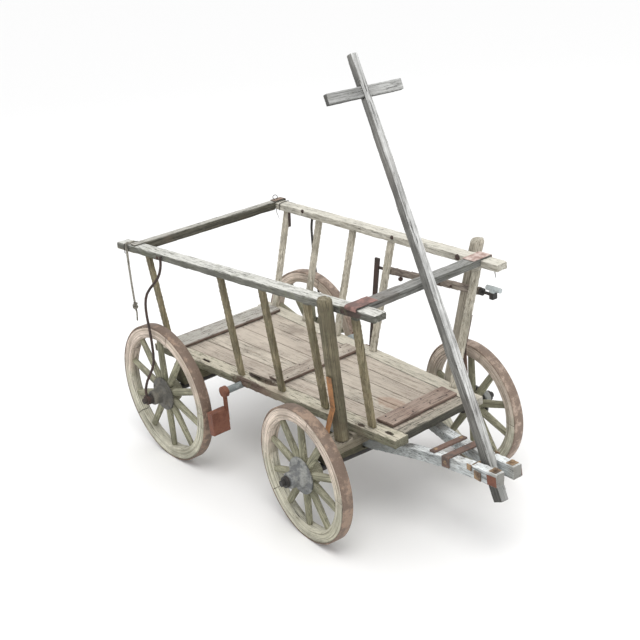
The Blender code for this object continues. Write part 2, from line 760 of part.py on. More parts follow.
def make_brake_control(root):
    """The board, crank and lever of the screw brake, on the left ladder's outer side."""
    thick = SPINDLE_BOARD_THICKNESS
    rings = []
    for x in SPINDLE_BOARD:
        low = spindle_z(x) - SPINDLE_BOARD_HEIGHT / 2
        high = spindle_z(x) + SPINDLE_BOARD_HEIGHT / 2
        bottom = rung_outer(x, low) + BOARD_TO_RUNG
        top = rung_outer(x, high) + BOARD_TO_RUNG
        outline = ((bottom, low), (bottom + thick, low), (top + thick, high), (top, high))
        rings.append([(x, y, z) for y, z in outline])
    place("brake_board", mesh_of("brake_board", [rings]), "grey_wood", root)

    z = SPINDLE_Z[1]
    rear, front = SPINDLE_BOARD[0] - SEAT, SPINDLE_BOARD[1] + SEAT
    y_front = rung_outer(SPINDLE_BOARD[1], z) + BOARD_TO_RUNG + thick / 2
    profile = [
        (front, CRANK_BOSS_RADIUS),
        (front + CRANK_BOSS_LENGTH, CRANK_BOSS_RADIUS),
        (front + CRANK_BOSS_LENGTH, SPINDLE_RADIUS),
        (CRANK_X, SPINDLE_RADIUS),
    ]
    screw = disc_rings(profile, (0, y_front, z), 12, "x")
    crank = place("brake_crank", mesh_of("brake_crank", [screw]), "dark_iron", root, True)
    half = CRANK_WEB_WIDTH / 2
    across = (y_front - half, y_front + half)
    web = block((CRANK_X - half, CRANK_X + half / 2), across, (z - CRANK_BOSS_RADIUS, z + CRANK_REACH))
    join(crank, mesh_of("crank_web", [web]), root)
    grip_z = z + CRANK_REACH - CRANK_GRIP_RADIUS / 2
    ends = [(CRANK_X + side * CRANK_HANDLE / 2, y_front, grip_z) for side in (-1, 1)]
    join(crank, mesh_of("crank_grip", [rod(ends, CRANK_GRIP_RADIUS, 12)]), root)

    z = SPINDLE_Z[0]
    y_rear = rung_outer(SPINDLE_BOARD[0], z) + BOARD_TO_RUNG + thick / 2
    rings = []
    foot_y = lower_half(LEVER_X) + LEVER_TO_RAIL
    for at_z, y, width in (
        (LEVER_BOTTOM, foot_y, LEVER_WIDTH),
        (LOWER_TOP + LEVER_THICKNESS, foot_y, LEVER_WIDTH),
        (LEVER_TOP, y_rear - LEVER_THICKNESS / 2, LEVER_TOP_WIDTH),
    ):
        x = LEVER_X + LEVER_RAKE * (at_z - LEVER_BOTTOM) / (LEVER_TOP - LEVER_BOTTOM)
        half = width / 2
        far = y + LEVER_THICKNESS
        low, high = x - half, x + half
        rings.append([(low, y, at_z), (high, y, at_z), (high, far, at_z), (low, far, at_z)])
    lever = place("brake_lever", mesh_of("brake_lever", [rings]), "dark_iron", root)
    stub = rod([(LEVER_X + LEVER_RAKE * 0.9, y_rear, z), (rear, y_rear, z)], SPINDLE_RADIUS, 12)
    join(lever, mesh_of("screw_end", [stub]), root)
    link_z = LEVER_BOTTOM + 3 * LINK_RADIUS
    ends = [(LEVER_X, foot_y + reach, link_z) for reach in (LEVER_THICKNESS / 2, LEVER_PIN)]
    pin = rod(ends, LINK_RADIUS, 8)
    join(lever, mesh_of("lever_pin", [pin]), root)
    start_x = SHAFT_X + (BRAKE_ARM_WIDTH + LINK_RADIUS) / 2
    start = (start_x, SHAFT_HALF + BRAKE_BOSS_WIDTH / 2, SHAFT_Z - 8 * LINK_RADIUS)
    end = (LEVER_X - 2 * LINK_RADIUS - 4 * SEAT, foot_y + LEVER_PIN - LINK_RADIUS, link_z)
    link = mesh_of("brake_rod", [rod([start, end], LINK_RADIUS, 8)])
    place("brake_rod", link, "dark_iron", root, True)


def make_front_carriage(carriage):
    x = (-BOLSTER_LENGTH / 2, BOLSTER_LENGTH / 2)
    low = fork_centre(x[1]) - FORK_WIDTH / 2 - SEAT
    high = fork_centre(x[0]) + FORK_WIDTH / 2 + SEAT
    half = BED_HALF_LENGTH
    notch = FORK_BOTTOM - SEAT
    left = [(half, BED_BOTTOM), (half, BED_TOP), (high, BED_TOP)]
    left += [(high, notch), (low, notch), (low, BED_TOP)]
    outline = left + [(-y, z) for y, z in left[::-1]]
    bed_mesh = mesh_of("axle_bed_front", [outline_x(outline, x)])
    bed = place("axle_bed_front", bed_mesh, "olive_wood", carriage)
    faces = [(BED_TOP - WEAR_THICKNESS, WEAR_RADIUS), (BED_TOP + WEAR_THICKNESS, WEAR_RADIUS)]
    join(bed, mesh_of("wear_plate", [disc_rings(faces, (0, 0, 0), 24, "z")]), carriage)
    pin = KING_PIN_RADIUS + ARM_RUNNING_GAP
    past = FORK_HEIGHT / 2
    drill(bed, (0, 0, BED_BOTTOM - past), (0, 0, BED_TOP + past), pin, carriage, 24)
    make_axle("axle_front", 0.0, FRONT_RADIUS, FRONT_ARM_PAST_NUT, carriage)

    stop_x, stop_z = stop_bolt()
    for tag, side in (("right", -1), ("left", 1)):
        rings = []
        for at, centre in FORK_PLAN:
            inner, outer = side * (centre - FORK_WIDTH / 2), side * (centre + FORK_WIDTH / 2)
            low, high = fork_low(at), fork_high(at)
            rings.append([(at, inner, low), (at, outer, low), (at, outer, high), (at, inner, high)])
        arm = place(f"fork_arm_{tag}", mesh_of("fork_arm", [rings]), "pale_wood", carriage)
        for at, z, radius in ((PIVOT_X, PIVOT_Z, BOLT_RADIUS), (stop_x, stop_z, STOP_RADIUS)):
            past = fork_centre(at) + FORK_WIDTH
            drill(arm, (at, 0, z), (at, side * past, z), radius + SEAT, carriage)

    at = (FORK_REAR_END, FORK_REAR_END + REAR_BAR_SIZE)
    top = FORK_BOTTOM - SEAT
    bar = block(at, (-REAR_BAR_HALF, REAR_BAR_HALF), (top - REAR_BAR_SIZE, top))
    place("fork_rear_bar", mesh_of("fork_rear_bar", [bar]), "olive_wood", carriage)

    at = (FORK_BAR_X - FORK_BAR_WIDTH / 2, FORK_BAR_X + FORK_BAR_WIDTH / 2)
    half = fork_centre(FORK_BAR_X) + FORK_WIDTH / 2 - FORK_BAR_THICKNESS
    outline = ((-half, 0), (half, 0), (half, FORK_BAR_THICKNESS), (-half, FORK_BAR_THICKNESS))
    bar = [[(x, y, fork_high(x) + SEAT + lift) for y, lift in outline] for x in at]
    place("fork_flat_bar", mesh_of("fork_flat_bar", [bar]), "rust_iron", carriage)

    rings = []
    for x in (FORK_BAND_X - FORK_BAND_WIDTH / 2, FORK_BAND_X + FORK_BAND_WIDTH / 2):
        face = fork_centre(FORK_BAND_X - FORK_BAND_WIDTH / 2) + FORK_WIDTH / 2 + SEAT
        top = fork_high(x) + SEAT
        thick = FORK_BAND_THICKNESS
        foot = top - FORK_BAND_DROP
        half = [(face + thick, top + thick), (face + thick, foot), (face, foot), (face, top)]
        rings.append([(x, y, z) for y, z in half] + [(x, -y, z) for y, z in half[::-1]])
    place("fork_band", mesh_of("fork_band", [rings]), "rust_iron", carriage)

    make_bolts(stop_x, stop_z, carriage)


def stop_bolt():
    """Where the tongue's rear face meets the bolt that it leans back against."""
    reach = TONGUE_DEPTH / 2 + 2 * SEAT + STOP_RADIUS
    between = pi / 2 - TONGUE_LEAN - STOP_ELEVATION
    distance = reach / sin(between)
    return PIVOT_X - distance * cos(STOP_ELEVATION), PIVOT_Z + distance * sin(STOP_ELEVATION)


def make_bolts(stop_x, stop_z, carriage):
    """The pivot bolt and the stop bolt through both arms, each with a square plate at both ends."""
    for name, x, z, radius, side_length in (
        ("pivot_bolt", PIVOT_X, PIVOT_Z, BOLT_RADIUS, PLATE_SIDE),
        ("stop_bolt", stop_x, stop_z, STOP_RADIUS, SMALL_PLATE_SIDE),
    ):
        half = fork_centre(x - PLATE_SIDE / 2) + FORK_WIDTH / 2 + SEAT
        end = half + PLATE_THICKNESS * 0.7
        shank = mesh_of(name, [rod([(x, -end, z), (x, end, z)], radius, 12)])
        bolt = place(name, shank, "rust_iron", carriage)
        reach = side_length / 2
        for side in (-1, 1):
            y = sorted((side * half, side * (half + PLATE_THICKNESS)))
            plate = block((x - reach, x + reach), y, (z - reach, z + reach))
            join(bolt, mesh_of("plate", [plate]), carriage)


def make_tongue(pivot):
    """The tongue in its own frame, with its origin on the pivot bolt."""
    along = Vector((-sin(TONGUE_LEAN), 0, cos(TONGUE_LEAN)))
    front = Vector((cos(TONGUE_LEAN), 0, sin(TONGUE_LEAN)))
    across = Vector((0, 1, 0))

    def centre(reach):
        """The tongue's middle at reach above the bolt. Its upper part bends to the right."""
        bend = TONGUE_BEND * max(0.0, reach - TONGUE_STRAIGHT) / (TONGUE_ABOVE - TONGUE_STRAIGHT)
        return along * reach - across * bend

    rings = []
    stations = (
        (-TONGUE_FOOT, TONGUE_WIDTH, TONGUE_DEPTH),
        (TONGUE_STRAIGHT, TONGUE_WIDTH, TONGUE_DEPTH),
        (TONGUE_ABOVE, TONGUE_TOP_WIDTH, TONGUE_TOP_DEPTH),
    )
    for reach, width, depth in stations:
        ring = []
        for a, b in ((-1, -1), (1, -1), (1, 1), (-1, 1)):
            ring.append(centre(reach) + front * (a * depth / 2) + across * (b * width / 2))
        rings.append(ring)
    tongue = place("tongue", mesh_of("tongue", [rings]), "pale_wood", pivot)
    past = TONGUE_WIDTH
    drill(tongue, (0, -past, 0), (0, past, 0), BOLT_RADIUS + BOLT_CLEARANCE, pivot)

    middle = centre(TONGUE_ABOVE - HANDLE_BELOW_TOP)

    def handle_bar(half_length, slack):
        """Rings of the handle's bar, made larger all round by slack."""
        rings = []
        for y in (-half_length, half_length):
            ring = []
            for a, b in ((-1, -1), (1, -1), (1, 1), (-1, 1)):
                out, up = a * (HANDLE_DEPTH / 2 + slack), b * (HANDLE_HEIGHT / 2 + slack)
                ring.append(middle + front * out + along * up + across * y)
            rings.append(ring)
        return rings

    cut(tongue, mesh_of("mortise", [handle_bar(TONGUE_WIDTH, SEAT)]), pivot)
    bar = mesh_of("tongue_handle", [handle_bar(HANDLE_LENGTH / 2, 0.0)])
    place("tongue_handle", bar, "grey_wood", pivot)


def make_rope(root):
    """The rope over the right top rail and down, with a knot near its end."""
    top = rail_top(ROPE_X) + ROPE_RADIUS + 2 * SEAT
    y = -(top_half(ROPE_X) + ROPE_RADIUS + 3 * SEAT)
    route = [
        (ROPE_X, y + 0.034, top),
        (ROPE_X, y + 0.014, top + 0.0003),
        (ROPE_X, y + 0.0055, top + 0.0005),
        (ROPE_X, y + 0.0008, top - 0.0008),
        (ROPE_X, y - 0.0008, top - 0.0060),
        (ROPE_X, y - 0.0004, top - 0.030),
        (ROPE_X - 0.002, y, 0.70),
        (ROPE_X - 0.003, y, 0.63),
        (ROPE_X, y, ROPE_KNOT_TOP + SEAT),
    ]
    curve = bpy.data.curves.new("rope", "CURVE")
    curve.dimensions = "3D"
    curve.bevel_depth = ROPE_RADIUS
    curve.bevel_resolution = 2
    curve.use_fill_caps = True
    points = smooth_path(route, 3)
    spline = curve.splines.new("POLY")
    spline.points.add(len(points) - 1)
    for slot, point in zip(spline.points, points):
        slot.co = (*point, 1.0)
    curve.materials.append(material("hemp"))
    rope = bpy.data.objects.new("rope", curve)
    rope.parent = root
    bpy.context.scene.collection.objects.link(rope)

    low, high = ROPE_KNOT_TOP - ROPE_KNOT_LENGTH, ROPE_KNOT_TOP
    profile = [
        (ROPE_END, ROPE_RADIUS),
        (low, ROPE_RADIUS),
        (low + 0.003, ROPE_KNOT_RADIUS - 0.002),
        ((low + high) / 2, ROPE_KNOT_RADIUS),
        (high - 0.005, ROPE_KNOT_RADIUS - 0.002),
        (high, ROPE_RADIUS),
    ]
    knot = mesh_of("rope_knot", [disc_rings(profile, (ROPE_X, y, 0), 12, "z")])
    place("rope_knot", knot, "hemp", root, True)


def main():
    for obj in list(bpy.data.objects):
        bpy.data.objects.remove(obj)
    root = empty("cart_origin", (-CART_MIDDLE, 0, 0))
    carriage = empty("front_carriage", (WHEELBASE, 0, 0), root, STEER_AT_REST)
    pivot = empty("tongue_pivot", (PIVOT_X, 0, PIVOT_Z), carriage)

    make_lower_frame(root)
    make_ladder("right", -1, TOP_REAR_END_RIGHT, MISSING_RIGHT, root)
    make_ladder("left", 1, TOP_REAR_END_LEFT, MISSING_LEFT, root)
    make_crossbar("crossbar_rear", REAR_BAR, REAR_BAR_TOP, REAR_BAR_HEIGHT, root)
    make_crossbar("crossbar_front", FRONT_BAR, FRONT_BAR_TOP, FRONT_BAR_HEIGHT, root)
    make_rear_bolster(root)
    make_front_bolster(root)
    make_stakes(root)
    make_stays(root)
    make_brake(root)
    make_brake_control(root)
    make_front_carriage(carriage)
    make_tongue(pivot)
    make_rope(root)
    for tag, side in (("right", -1), ("left", 1)):
        rear = empty(f"hinge_rear_{tag}", (0, side * HALF_TRACK, REAR_RADIUS), root)
        make_wheel(f"rear_{tag}", side, REAR_RADIUS, rear)
        front = empty(f"hinge_front_{tag}", (0, side * HALF_TRACK, FRONT_RADIUS), carriage)
        make_wheel(f"front_{tag}", side, FRONT_RADIUS, front)


main()
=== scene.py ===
"""The look of the small ladder wagon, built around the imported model."""

import json
import random
from math import atan2, cos, pi, radians, sin

import bmesh
import bpy
from mathutils import Matrix, Vector, noise


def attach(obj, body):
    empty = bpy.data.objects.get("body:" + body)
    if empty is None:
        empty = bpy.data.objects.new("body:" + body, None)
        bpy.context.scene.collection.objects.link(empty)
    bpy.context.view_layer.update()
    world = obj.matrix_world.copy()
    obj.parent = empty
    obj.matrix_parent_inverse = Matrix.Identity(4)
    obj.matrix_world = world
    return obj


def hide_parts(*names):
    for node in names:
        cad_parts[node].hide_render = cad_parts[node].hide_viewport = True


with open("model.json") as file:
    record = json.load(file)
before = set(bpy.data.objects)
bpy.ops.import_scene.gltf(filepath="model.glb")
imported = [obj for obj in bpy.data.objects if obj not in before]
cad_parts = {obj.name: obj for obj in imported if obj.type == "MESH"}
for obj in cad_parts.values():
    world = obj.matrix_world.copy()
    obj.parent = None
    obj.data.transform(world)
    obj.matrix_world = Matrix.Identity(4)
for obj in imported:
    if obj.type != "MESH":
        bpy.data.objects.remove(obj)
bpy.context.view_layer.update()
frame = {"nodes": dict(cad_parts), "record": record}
NODES = frame["nodes"]

# Sizes and places that part.py has too, in metres from the ground under the rear axle
MIDDLE = 0.531116
WHEELBASE = 0.785
HALF_TRACK = 0.339
RADII = {"rear": 0.25, "front": 0.22}
STEER = radians(-5.5)
PIVOT = (0.452, 0.297)
LEAN = radians(24)
LOWER_HALF, LOWER_TAPER = 0.2526, 0.0632
TOP_HALF, TOP_TAPER = 0.3257, 0.0536
RAIL_WIDTH = 0.055
BOARDS, BOARD_GAP = 5, 0.002
X, Y, Z = Vector((1, 0, 0)), Vector((0, 1, 0)), Vector((0, 0, 1))


def spot(x, y, z):
    """A point given from the rear axle, in the row's frame."""
    return Vector((x - MIDDLE, y, z))


def carriage(x, y, z):
    """A point given from the king pin, in the turned front carriage."""
    turned = Vector((x * cos(STEER) - y * sin(STEER), x * sin(STEER) + y * cos(STEER), z))
    return spot(WHEELBASE, 0, 0) + turned


def lower_half(x):
    """Half the width over the lower rails."""
    return LOWER_HALF - LOWER_TAPER * x


def top_half(x):
    """Half the width over the top rails."""
    return TOP_HALF - TOP_TAPER * x


def rail_top(x):
    """The height of the top rails' upper face."""
    return 0.768 + 0.020 * x


CARRIAGE_X = carriage(1, 0, 0) - carriage(0, 0, 0)
CARRIAGE_Y = carriage(0, 1, 0) - carriage(0, 0, 0)
TONGUE_UP = carriage(-sin(LEAN), 0, cos(LEAN)) - carriage(0, 0, 0)


# The camera and the stage

AZIMUTH, ELEVATION, ROLL = radians(51.30), radians(22.50), radians(-4.81)
CAMERA_AT = spot(3.0348, -2.0586, 1.9002)
LENS = 61.17
FLOOR_HALF = 30
LIGHTS_AIM = Vector((0, 0, 0.4))
SKY_BELOW, SKY_ABOVE = 0.72, 1.34


def linked(name, data):
    """A new object in the scene."""
    made = bpy.data.objects.new(name, data)
    bpy.context.scene.collection.objects.link(made)
    return made


def make_camera():
    """The camera fitted to the photo."""
    back = Vector((sin(AZIMUTH) * cos(ELEVATION), -cos(AZIMUTH) * cos(ELEVATION), sin(ELEVATION)))
    right = (-back).cross(Z).normalized()
    up = right.cross(-back)
    across = right * cos(ROLL) + up * sin(ROLL)
    upward = right * -sin(ROLL) + up * cos(ROLL)
    data = bpy.data.cameras.new("camera")
    data.lens = LENS
    data.sensor_width = 36.0
    data.sensor_fit = "HORIZONTAL"
    data.clip_end = 100
    camera = linked("camera", data)
    turn = Matrix((across, upward, back)).transposed().to_4x4()
    camera.matrix_world = Matrix.Translation(CAMERA_AT) @ turn
    bpy.context.scene.camera = camera


def area_light(name, at, size, power, colour):
    """A round lamp that points at the cart."""
    data = bpy.data.lights.new(name, "AREA")
    data.shape = "DISK"
    data.size = size
    data.energy = power
    data.color = colour
    lamp = linked(name, data)
    lamp.location = at
    lamp.rotation_euler = (LIGHTS_AIM - Vector(at)).to_track_quat("-Z", "Y").to_euler()


def make_stage():
    """White floor, two lamps and a sky that is brighter above."""
    mesh = bpy.data.meshes.new("floor")
    corners = [(x * FLOOR_HALF, y * FLOOR_HALF, 0) for x, y in ((-1, -1), (1, -1), (1, 1), (-1, 1))]
    mesh.from_pydata(corners, [], [(0, 1, 2, 3)])
    floor = linked("floor", mesh)
    paint = Maker("floor_paint")
    paint.shader.inputs["Base Color"].default_value = (0.86, 0.86, 0.86, 1)
    paint.shader.inputs["Roughness"].default_value = 0.9
    mesh.materials.append(paint.material)

    area_light("key", (1.8, -1.2, 4.2), 2.4, 75, (1.0, 0.985, 0.96))
    area_light("back", (-3.5, 2.5, 4.0), 3.5, 20, (0.97, 0.98, 1.0))
    world = bpy.data.worlds.new("studio")
    world.use_nodes = True
    tree = world.node_tree
    sky = tree.nodes["Background"]
    sky.inputs["Color"].default_value = (1.0, 1.0, 1.0, 1)
    coords = tree.nodes.new("ShaderNodeTexCoord")
    height = tree.nodes.new("ShaderNodeSeparateXYZ")
    strength = tree.nodes.new("ShaderNodeMapRange")
    strength.inputs["To Min"].default_value = SKY_BELOW
    strength.inputs["To Max"].default_value = SKY_ABOVE
    tree.links.new(coords.outputs["Generated"], height.inputs["Vector"])
    tree.links.new(height.outputs["Z"], strength.inputs["Value"])
    tree.links.new(strength.outputs["Result"], sky.inputs["Strength"])
    bpy.context.scene.world = world
    bpy.context.scene.view_settings.view_transform = "Standard"


# Materials

# Sockets of the Mix node for each kind of data: first, second and result
MIX_SOCKETS = {"VECTOR": (4, 5, 1), "RGBA": (6, 7, 2)}


class Maker:
    """A new material and short calls for its nodes."""

    def __init__(self, name):
        self.material = bpy.data.materials.new(name)
        self.material.use_nodes = True
        self.tree = self.material.node_tree
        self.shader = self.tree.nodes["Principled BSDF"]
        self.coords = None

    def add(self, kind, inputs=None, **settings):
        """A new node with its settings and inputs."""
        made = self.tree.nodes.new(kind)
        for key, value in settings.items():
            setattr(made, key, value)
        for key, value in (inputs or {}).items():
            self.feed(made.inputs[key], value)
        return made

    def feed(self, socket, value):
        """Link a socket to another, or set its value."""
        if isinstance(value, bpy.types.NodeSocket):
            self.tree.links.new(value, socket)
        else:
            socket.default_value = value

    def where(self):
        """The place on the piece, in metres."""
        if not self.coords:
            self.coords = self.add("ShaderNodeTexCoord")
        return self.coords.outputs["Object"]

    def facing(self, axis):
        """The surface normal's part along axis, -1 to 1."""
        self.where()
        return self.dot(self.coords.outputs["Normal"], axis)

    def math(self, operation, a, b=0.0):
        return self.add("ShaderNodeMath", {0: a, 1: b}, operation=operation).outputs[0]

    def plus(self, a, b):
        return self.math("ADD", a, b)

    def minus(self, a, b):
        return self.math("SUBTRACT", a, b)

    def times(self, a, b):
        return self.math("MULTIPLY", a, b)

    def away(self, centre):
        """The place seen from centre."""
        return self.add("ShaderNodeVectorMath", {0: self.where(), 1: centre}, operation="SUBTRACT").outputs[0]

    def scaled(self, a, by):
        """A vector or colour times another, part by part."""
        return self.add("ShaderNodeVectorMath", {0: a, 1: by}, operation="MULTIPLY").outputs[0]

    def dot(self, a, b):
        return self.add("ShaderNodeVectorMath", {0: a, 1: b}, operation="DOT_PRODUCT").outputs["Value"]

    def length(self, a):
        return self.add("ShaderNodeVectorMath", {0: a}, operation="LENGTH").outputs["Value"]

    def join(self, x, y, z):
        return self.add("ShaderNodeCombineXYZ", {0: x, 1: y, 2: z}).outputs[0]

    def noise(self, at, scale, detail, rough=0.6):
        inputs = {"Vector": at, "Scale": scale, "Detail": detail, "Roughness": rough}
        return self.add("ShaderNodeTexNoise", inputs).outputs["Fac"]

    def ragged(self, value, scale, amount):
        """value made uneven by noise."""
        return self.plus(value, self.times(self.minus(self.noise(self.where(), scale, 3), 0.5), amount))

    def step(self, value, low, high):
        """0 where value is under low, 1 over high, smooth between."""
        inputs = {"Value": value, "From Min": low, "From Max": high}
        return self.add("ShaderNodeMapRange", inputs, interpolation_type="SMOOTHSTEP").outputs["Result"]

    def blend(self, kind, share, a, b):
        """a, and b where share is 1, as colours or vectors."""
        first, second, result = MIX_SOCKETS[kind]
        inputs = {"Factor": share, first: a, second: b}
        return self.add("ShaderNodeMix", inputs, data_type=kind).outputs[result]

    def mix(self, share, a, b):
        """Colour a, and b where share is 1."""
        a, b = (c if isinstance(c, bpy.types.NodeSocket) else (*c, 1) for c in (a, b))
        return self.blend("RGBA", share, a, b)

    def along(self, axis):
        """Coordinates with the first along axis and the others across it."""
        axis = Vector(axis).normalized()
        side = (Z if abs(axis.z) < 0.9 else Y).cross(axis).normalized()
        up = axis.cross(side)
        at = self.where()
        return self.join(self.dot(at, axis), self.dot(at, side), self.dot(at, up))

    def finish(self, colour, rough, height, distance):
        """Feed the shader, and return the material."""
        self.feed(self.shader.inputs["Base Color"], colour)
        self.feed(self.shader.inputs["Roughness"], rough)
        bump = self.add("ShaderNodeBump", {"Height": height, "Distance": distance, "Strength": 1.0})
        self.tree.links.new(bump.outputs["Normal"], self.shader.inputs["Normal"])
        return self.material


# Noise in wood, as repeats a metre along and across the grain
FIBRES, BANDS, SPLITS = (7, 330, 330), (2.2, 75, 75), (2.6, 120, 120)
SPLIT_GROUPS, FLECKS = (4, 22, 22), (38, 150, 150)
MOSS_COLOUR = (0.17, 0.18, 0.105)
SPLIT_COLOUR = (0.022, 0.018, 0.013)
WOOD_BUMP, IRON_BUMP, HEMP_BUMP = 0.0016, 0.0012, 0.0009


def wood(name, grain, colours, bleach_and_top_light, moss, cracks, stain=None, tone=None):
    """Old bare wood. grain(maker) gives coordinates with the first along the grain, in metres."""
    m = Maker(name)
    at = grain(m)
    place = m.where()
    fibres = m.noise(m.scaled(at, FIBRES), 1.0, 5, 0.65)
    bands = m.noise(m.scaled(at, BANDS), 1.0, 4, 0.6)
    patches = m.noise(place, 9.0, 5, 0.62)
    splits = m.noise(m.scaled(at, SPLITS), 1.0, 2, 0.5)
    split = m.minus(1.0, m.step(m.math("ABSOLUTE", m.minus(splits, 0.5)), 0.0, 0.011))
    groups = m.noise(m.scaled(at, SPLIT_GROUPS), 1.0, 2)
    split = m.times(split, m.step(groups, 0.62 - 0.18 * cracks, 0.68 - 0.14 * cracks))
    flecks = m.noise(m.scaled(at, FLECKS), 1.0, 4, 0.7)

    colour = m.mix(m.step(bands, 0.36, 0.62), colours["mid"], colours["light"])
    colour = m.mix(m.times(m.step(fibres, 0.56, 0.36), 0.85), colour, colours["dark"])
    shade = m.times(m.step(patches, 0.60, 0.38), 0.60)
    colour = m.mix(shade, colour, tuple(c * 0.45 for c in colours["mid"]))
    # Upward faces turn towards the pale colour: partly sun bleaching, partly painted top light that makes the tops
    # lighter than the sides
    top_light_and_bleach = m.step(m.facing(Z), -0.1, 0.9)
    fibre_tops = m.step(m.plus(m.times(fibres, 0.6), m.times(flecks, 0.4)), 0.36, 0.52)
    colour = m.mix(m.times(m.times(top_light_and_bleach, fibre_tops), bleach_and_top_light), colour, colours["pale"])
    # The light flecks are paler on upward faces too, which is painted top light
    light_flecks = m.times(m.step(flecks, 0.56, 0.70), m.plus(0.08, m.times(top_light_and_bleach, 0.42)))
    colour = m.mix(light_flecks, colour, colours["pale"])
    colour = m.mix(m.times(m.step(flecks, 0.44, 0.30), 0.60), colour, colours["dark"])
    if tone:
        colour = tone(m, colour)
    damp = m.times(m.step(m.noise(place, 22.0, 4, 0.7), 0.50, 0.66), moss)
    colour = m.mix(damp, colour, MOSS_COLOUR)
    if stain:
        stain_colour, strength = stain
        dirty = m.times(m.step(m.noise(place, 5.5, 3, 0.6), 0.50, 0.68), strength)
        colour = m.mix(dirty, colour, stain_colour)
    colour = m.mix(split, colour, SPLIT_COLOUR)
    height = m.plus(m.times(fibres, 0.55), m.times(bands, 0.45))
    height = m.minus(height, m.times(split, 1.1))
    rough = m.plus(0.78, m.times(fibres, 0.18))
    return m.finish(colour, rough, height, WOOD_BUMP)


def iron(name, kept, rusted, share, metallic=0.25, tone=None):
    """Old iron, dark where it is kept and rust-brown over about a share of it."""
    m = Maker(name)
    at = m.where()
    blotch = m.noise(at, 38.0, 6, 0.65)
    fine = m.noise(at, 260.0, 4, 0.7)
    broad = m.noise(at, 11.0, 3, 0.55)
    eaten = m.plus(m.times(blotch, 0.65), m.times(broad, 0.35))
    rusty = m.step(eaten, 0.62 - 0.3 * share, 0.74 - 0.3 * share)
    pits = tuple(c * 0.35 for c in rusted)
    crust = tuple(min(1, c * 1.35 + 0.01) for c in rusted)
    colour = m.mix(rusty, kept, rusted)
    colour = m.mix(m.times(m.step(fine, 0.52, 0.72), 0.55), colour, pits)
    colour = m.mix(m.times(m.step(fine, 0.46, 0.28), 0.30), colour, crust)
    if tone:
        colour = tone(m, colour)
    height = m.plus(m.times(blotch, 0.6), m.times(fine, 0.4))
    rough = m.plus(0.55, m.times(rusty, 0.33))
    m.shader.inputs["Metallic"].default_value = metallic
    return m.finish(colour, rough, height, IRON_BUMP)


def dress(node, material):
    """Give a CAD node's own faces a material."""
    for held in NODES[node].material_slots:
        held.link = "OBJECT"
        held.material = material


# Shapes

# Noise that wears the wood, as repeats a metre
RIPPLES_ACROSS, RIPPLES_ALONG, DENTS = 60, 5, 21
DENT_SHIFT = Vector((7, 3, 1))
WELD = 0.00001
WORN_SHARP = 36
STRIP_EDGE = 0.0012
DISC_SIDES = 12


def piece(name, mesh, material, body, stands_for=()):
    """A piece of the scene that rides on a body, in place of the nodes in stands_for."""
    mesh.materials.clear()
    mesh.materials.append(material)
    obj = linked(name, mesh)
    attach(obj, body)
    if stands_for:
        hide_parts(*stands_for)
    return obj


def mesh_of(name, solids, smooth=40, closed=False):
    """One mesh from solids, each a list of rings with the same number of points.

    The first and last rings are capped, or joined to each other where closed. Edges sharper than
    smooth degrees stay sharp.
    """
    shape = bmesh.new()
    for rings in solids:
        rows = [[shape.verts.new(point) for point in ring] for ring in rings]
        following = rows[1:] + rows[:1] if closed else rows[1:]
        for before, after in zip(rows, following):
            for i in range(len(before)):
                j = (i + 1) % len(before)
                shape.faces.new((before[i], before[j], after[j], after[i]))
        if not closed:
            shape.faces.new(rows[0][::-1])
            shape.faces.new(rows[-1])
    bmesh.ops.recalc_face_normals(shape, faces=shape.faces)
    mesh = bpy.data.meshes.new(name)
    shape.to_mesh(mesh)
    shape.free()
    mesh.shade_smooth()
    mesh.set_sharp_from_angle(angle=radians(smooth))
    return mesh


def body_of(node):
    """The body that a CAD node is on."""
    bodies = frame["record"]["behaviour"]["bodies"]
    return next(body for body, held in bodies.items() if node in held)


def worn(node, material, voxel=0.004, wear=0.0016, along=X, carve=None, rounds=2):
    """A worn copy of a CAD node's shape, with its edges rounded and its faces pulled in unevenly.

    wear is about the deepest dent, and rounds says how often the edges are smoothed.
    carve(at, out) gives a further depth at a point with the normal out.
    """
    source = linked(f"{node}_source", NODES[node].data.copy())
    weld = source.modifiers.new("weld", "WELD")
    weld.merge_threshold = WELD
    remesh = source.modifiers.new("remesh", "REMESH")
    remesh.mode = "VOXEL"
    remesh.voxel_size = voxel
    soften = source.modifiers.new("soften", "SMOOTH")
    soften.factor = 0.5
    soften.iterations = rounds
    graph = bpy.context.evaluated_depsgraph_get()
    mesh = bpy.data.meshes.new_from_object(source.evaluated_get(graph))
    mesh.name = f"{node}_worn"
    bpy.data.objects.remove(source)
    along = Vector(along).normalized()
    moves = []
    for vertex in mesh.vertices:
        at, out = vertex.co.copy(), vertex.normal
        line = at.dot(along)
        stretched = (at - along * line) * RIPPLES_ACROSS + along * line * RIPPLES_ALONG
        ripple = noise.fractal(stretched, 1.0, 2.0, 3) * 0.5 + 0.5
        dent = max(0.0, noise.noise(at * DENTS + DENT_SHIFT) - 0.15) * 1.6
        depth = wear * (0.1 + 0.6 * ripple + dent)
        if carve:
            depth += carve(at, out)
        moves.append(at - out * depth)
    for vertex, at in zip(mesh.vertices, moves):
        vertex.co = at
    mesh.shade_smooth()
    mesh.set_sharp_from_angle(angle=radians(WORN_SHARP))
    return piece(f"{node}_worn", mesh, material, body_of(node), (node,))


def circle(count, start=0.0):
    """Angles round a circle, the first start steps on."""
    return [2 * pi * (k + start) / count for k in range(count)]


def heading(path, i):
    """The direction of a path at its point i."""
    return (path[min(i + 1, len(path) - 1)] - path[max(i - 1, 0)]).normalized()


def bowl(at, centre, radii, depth):
    """How deep a hollow at centre goes at a point, from its radii along X, Y and Z."""
    away = sum(((a - b) / r) ** 2 for a, b, r in zip(at, centre, radii)) ** 0.5
    steepness = 2.2
    return depth * max(0.0, min(1.0, (1.0 - away) * steepness))


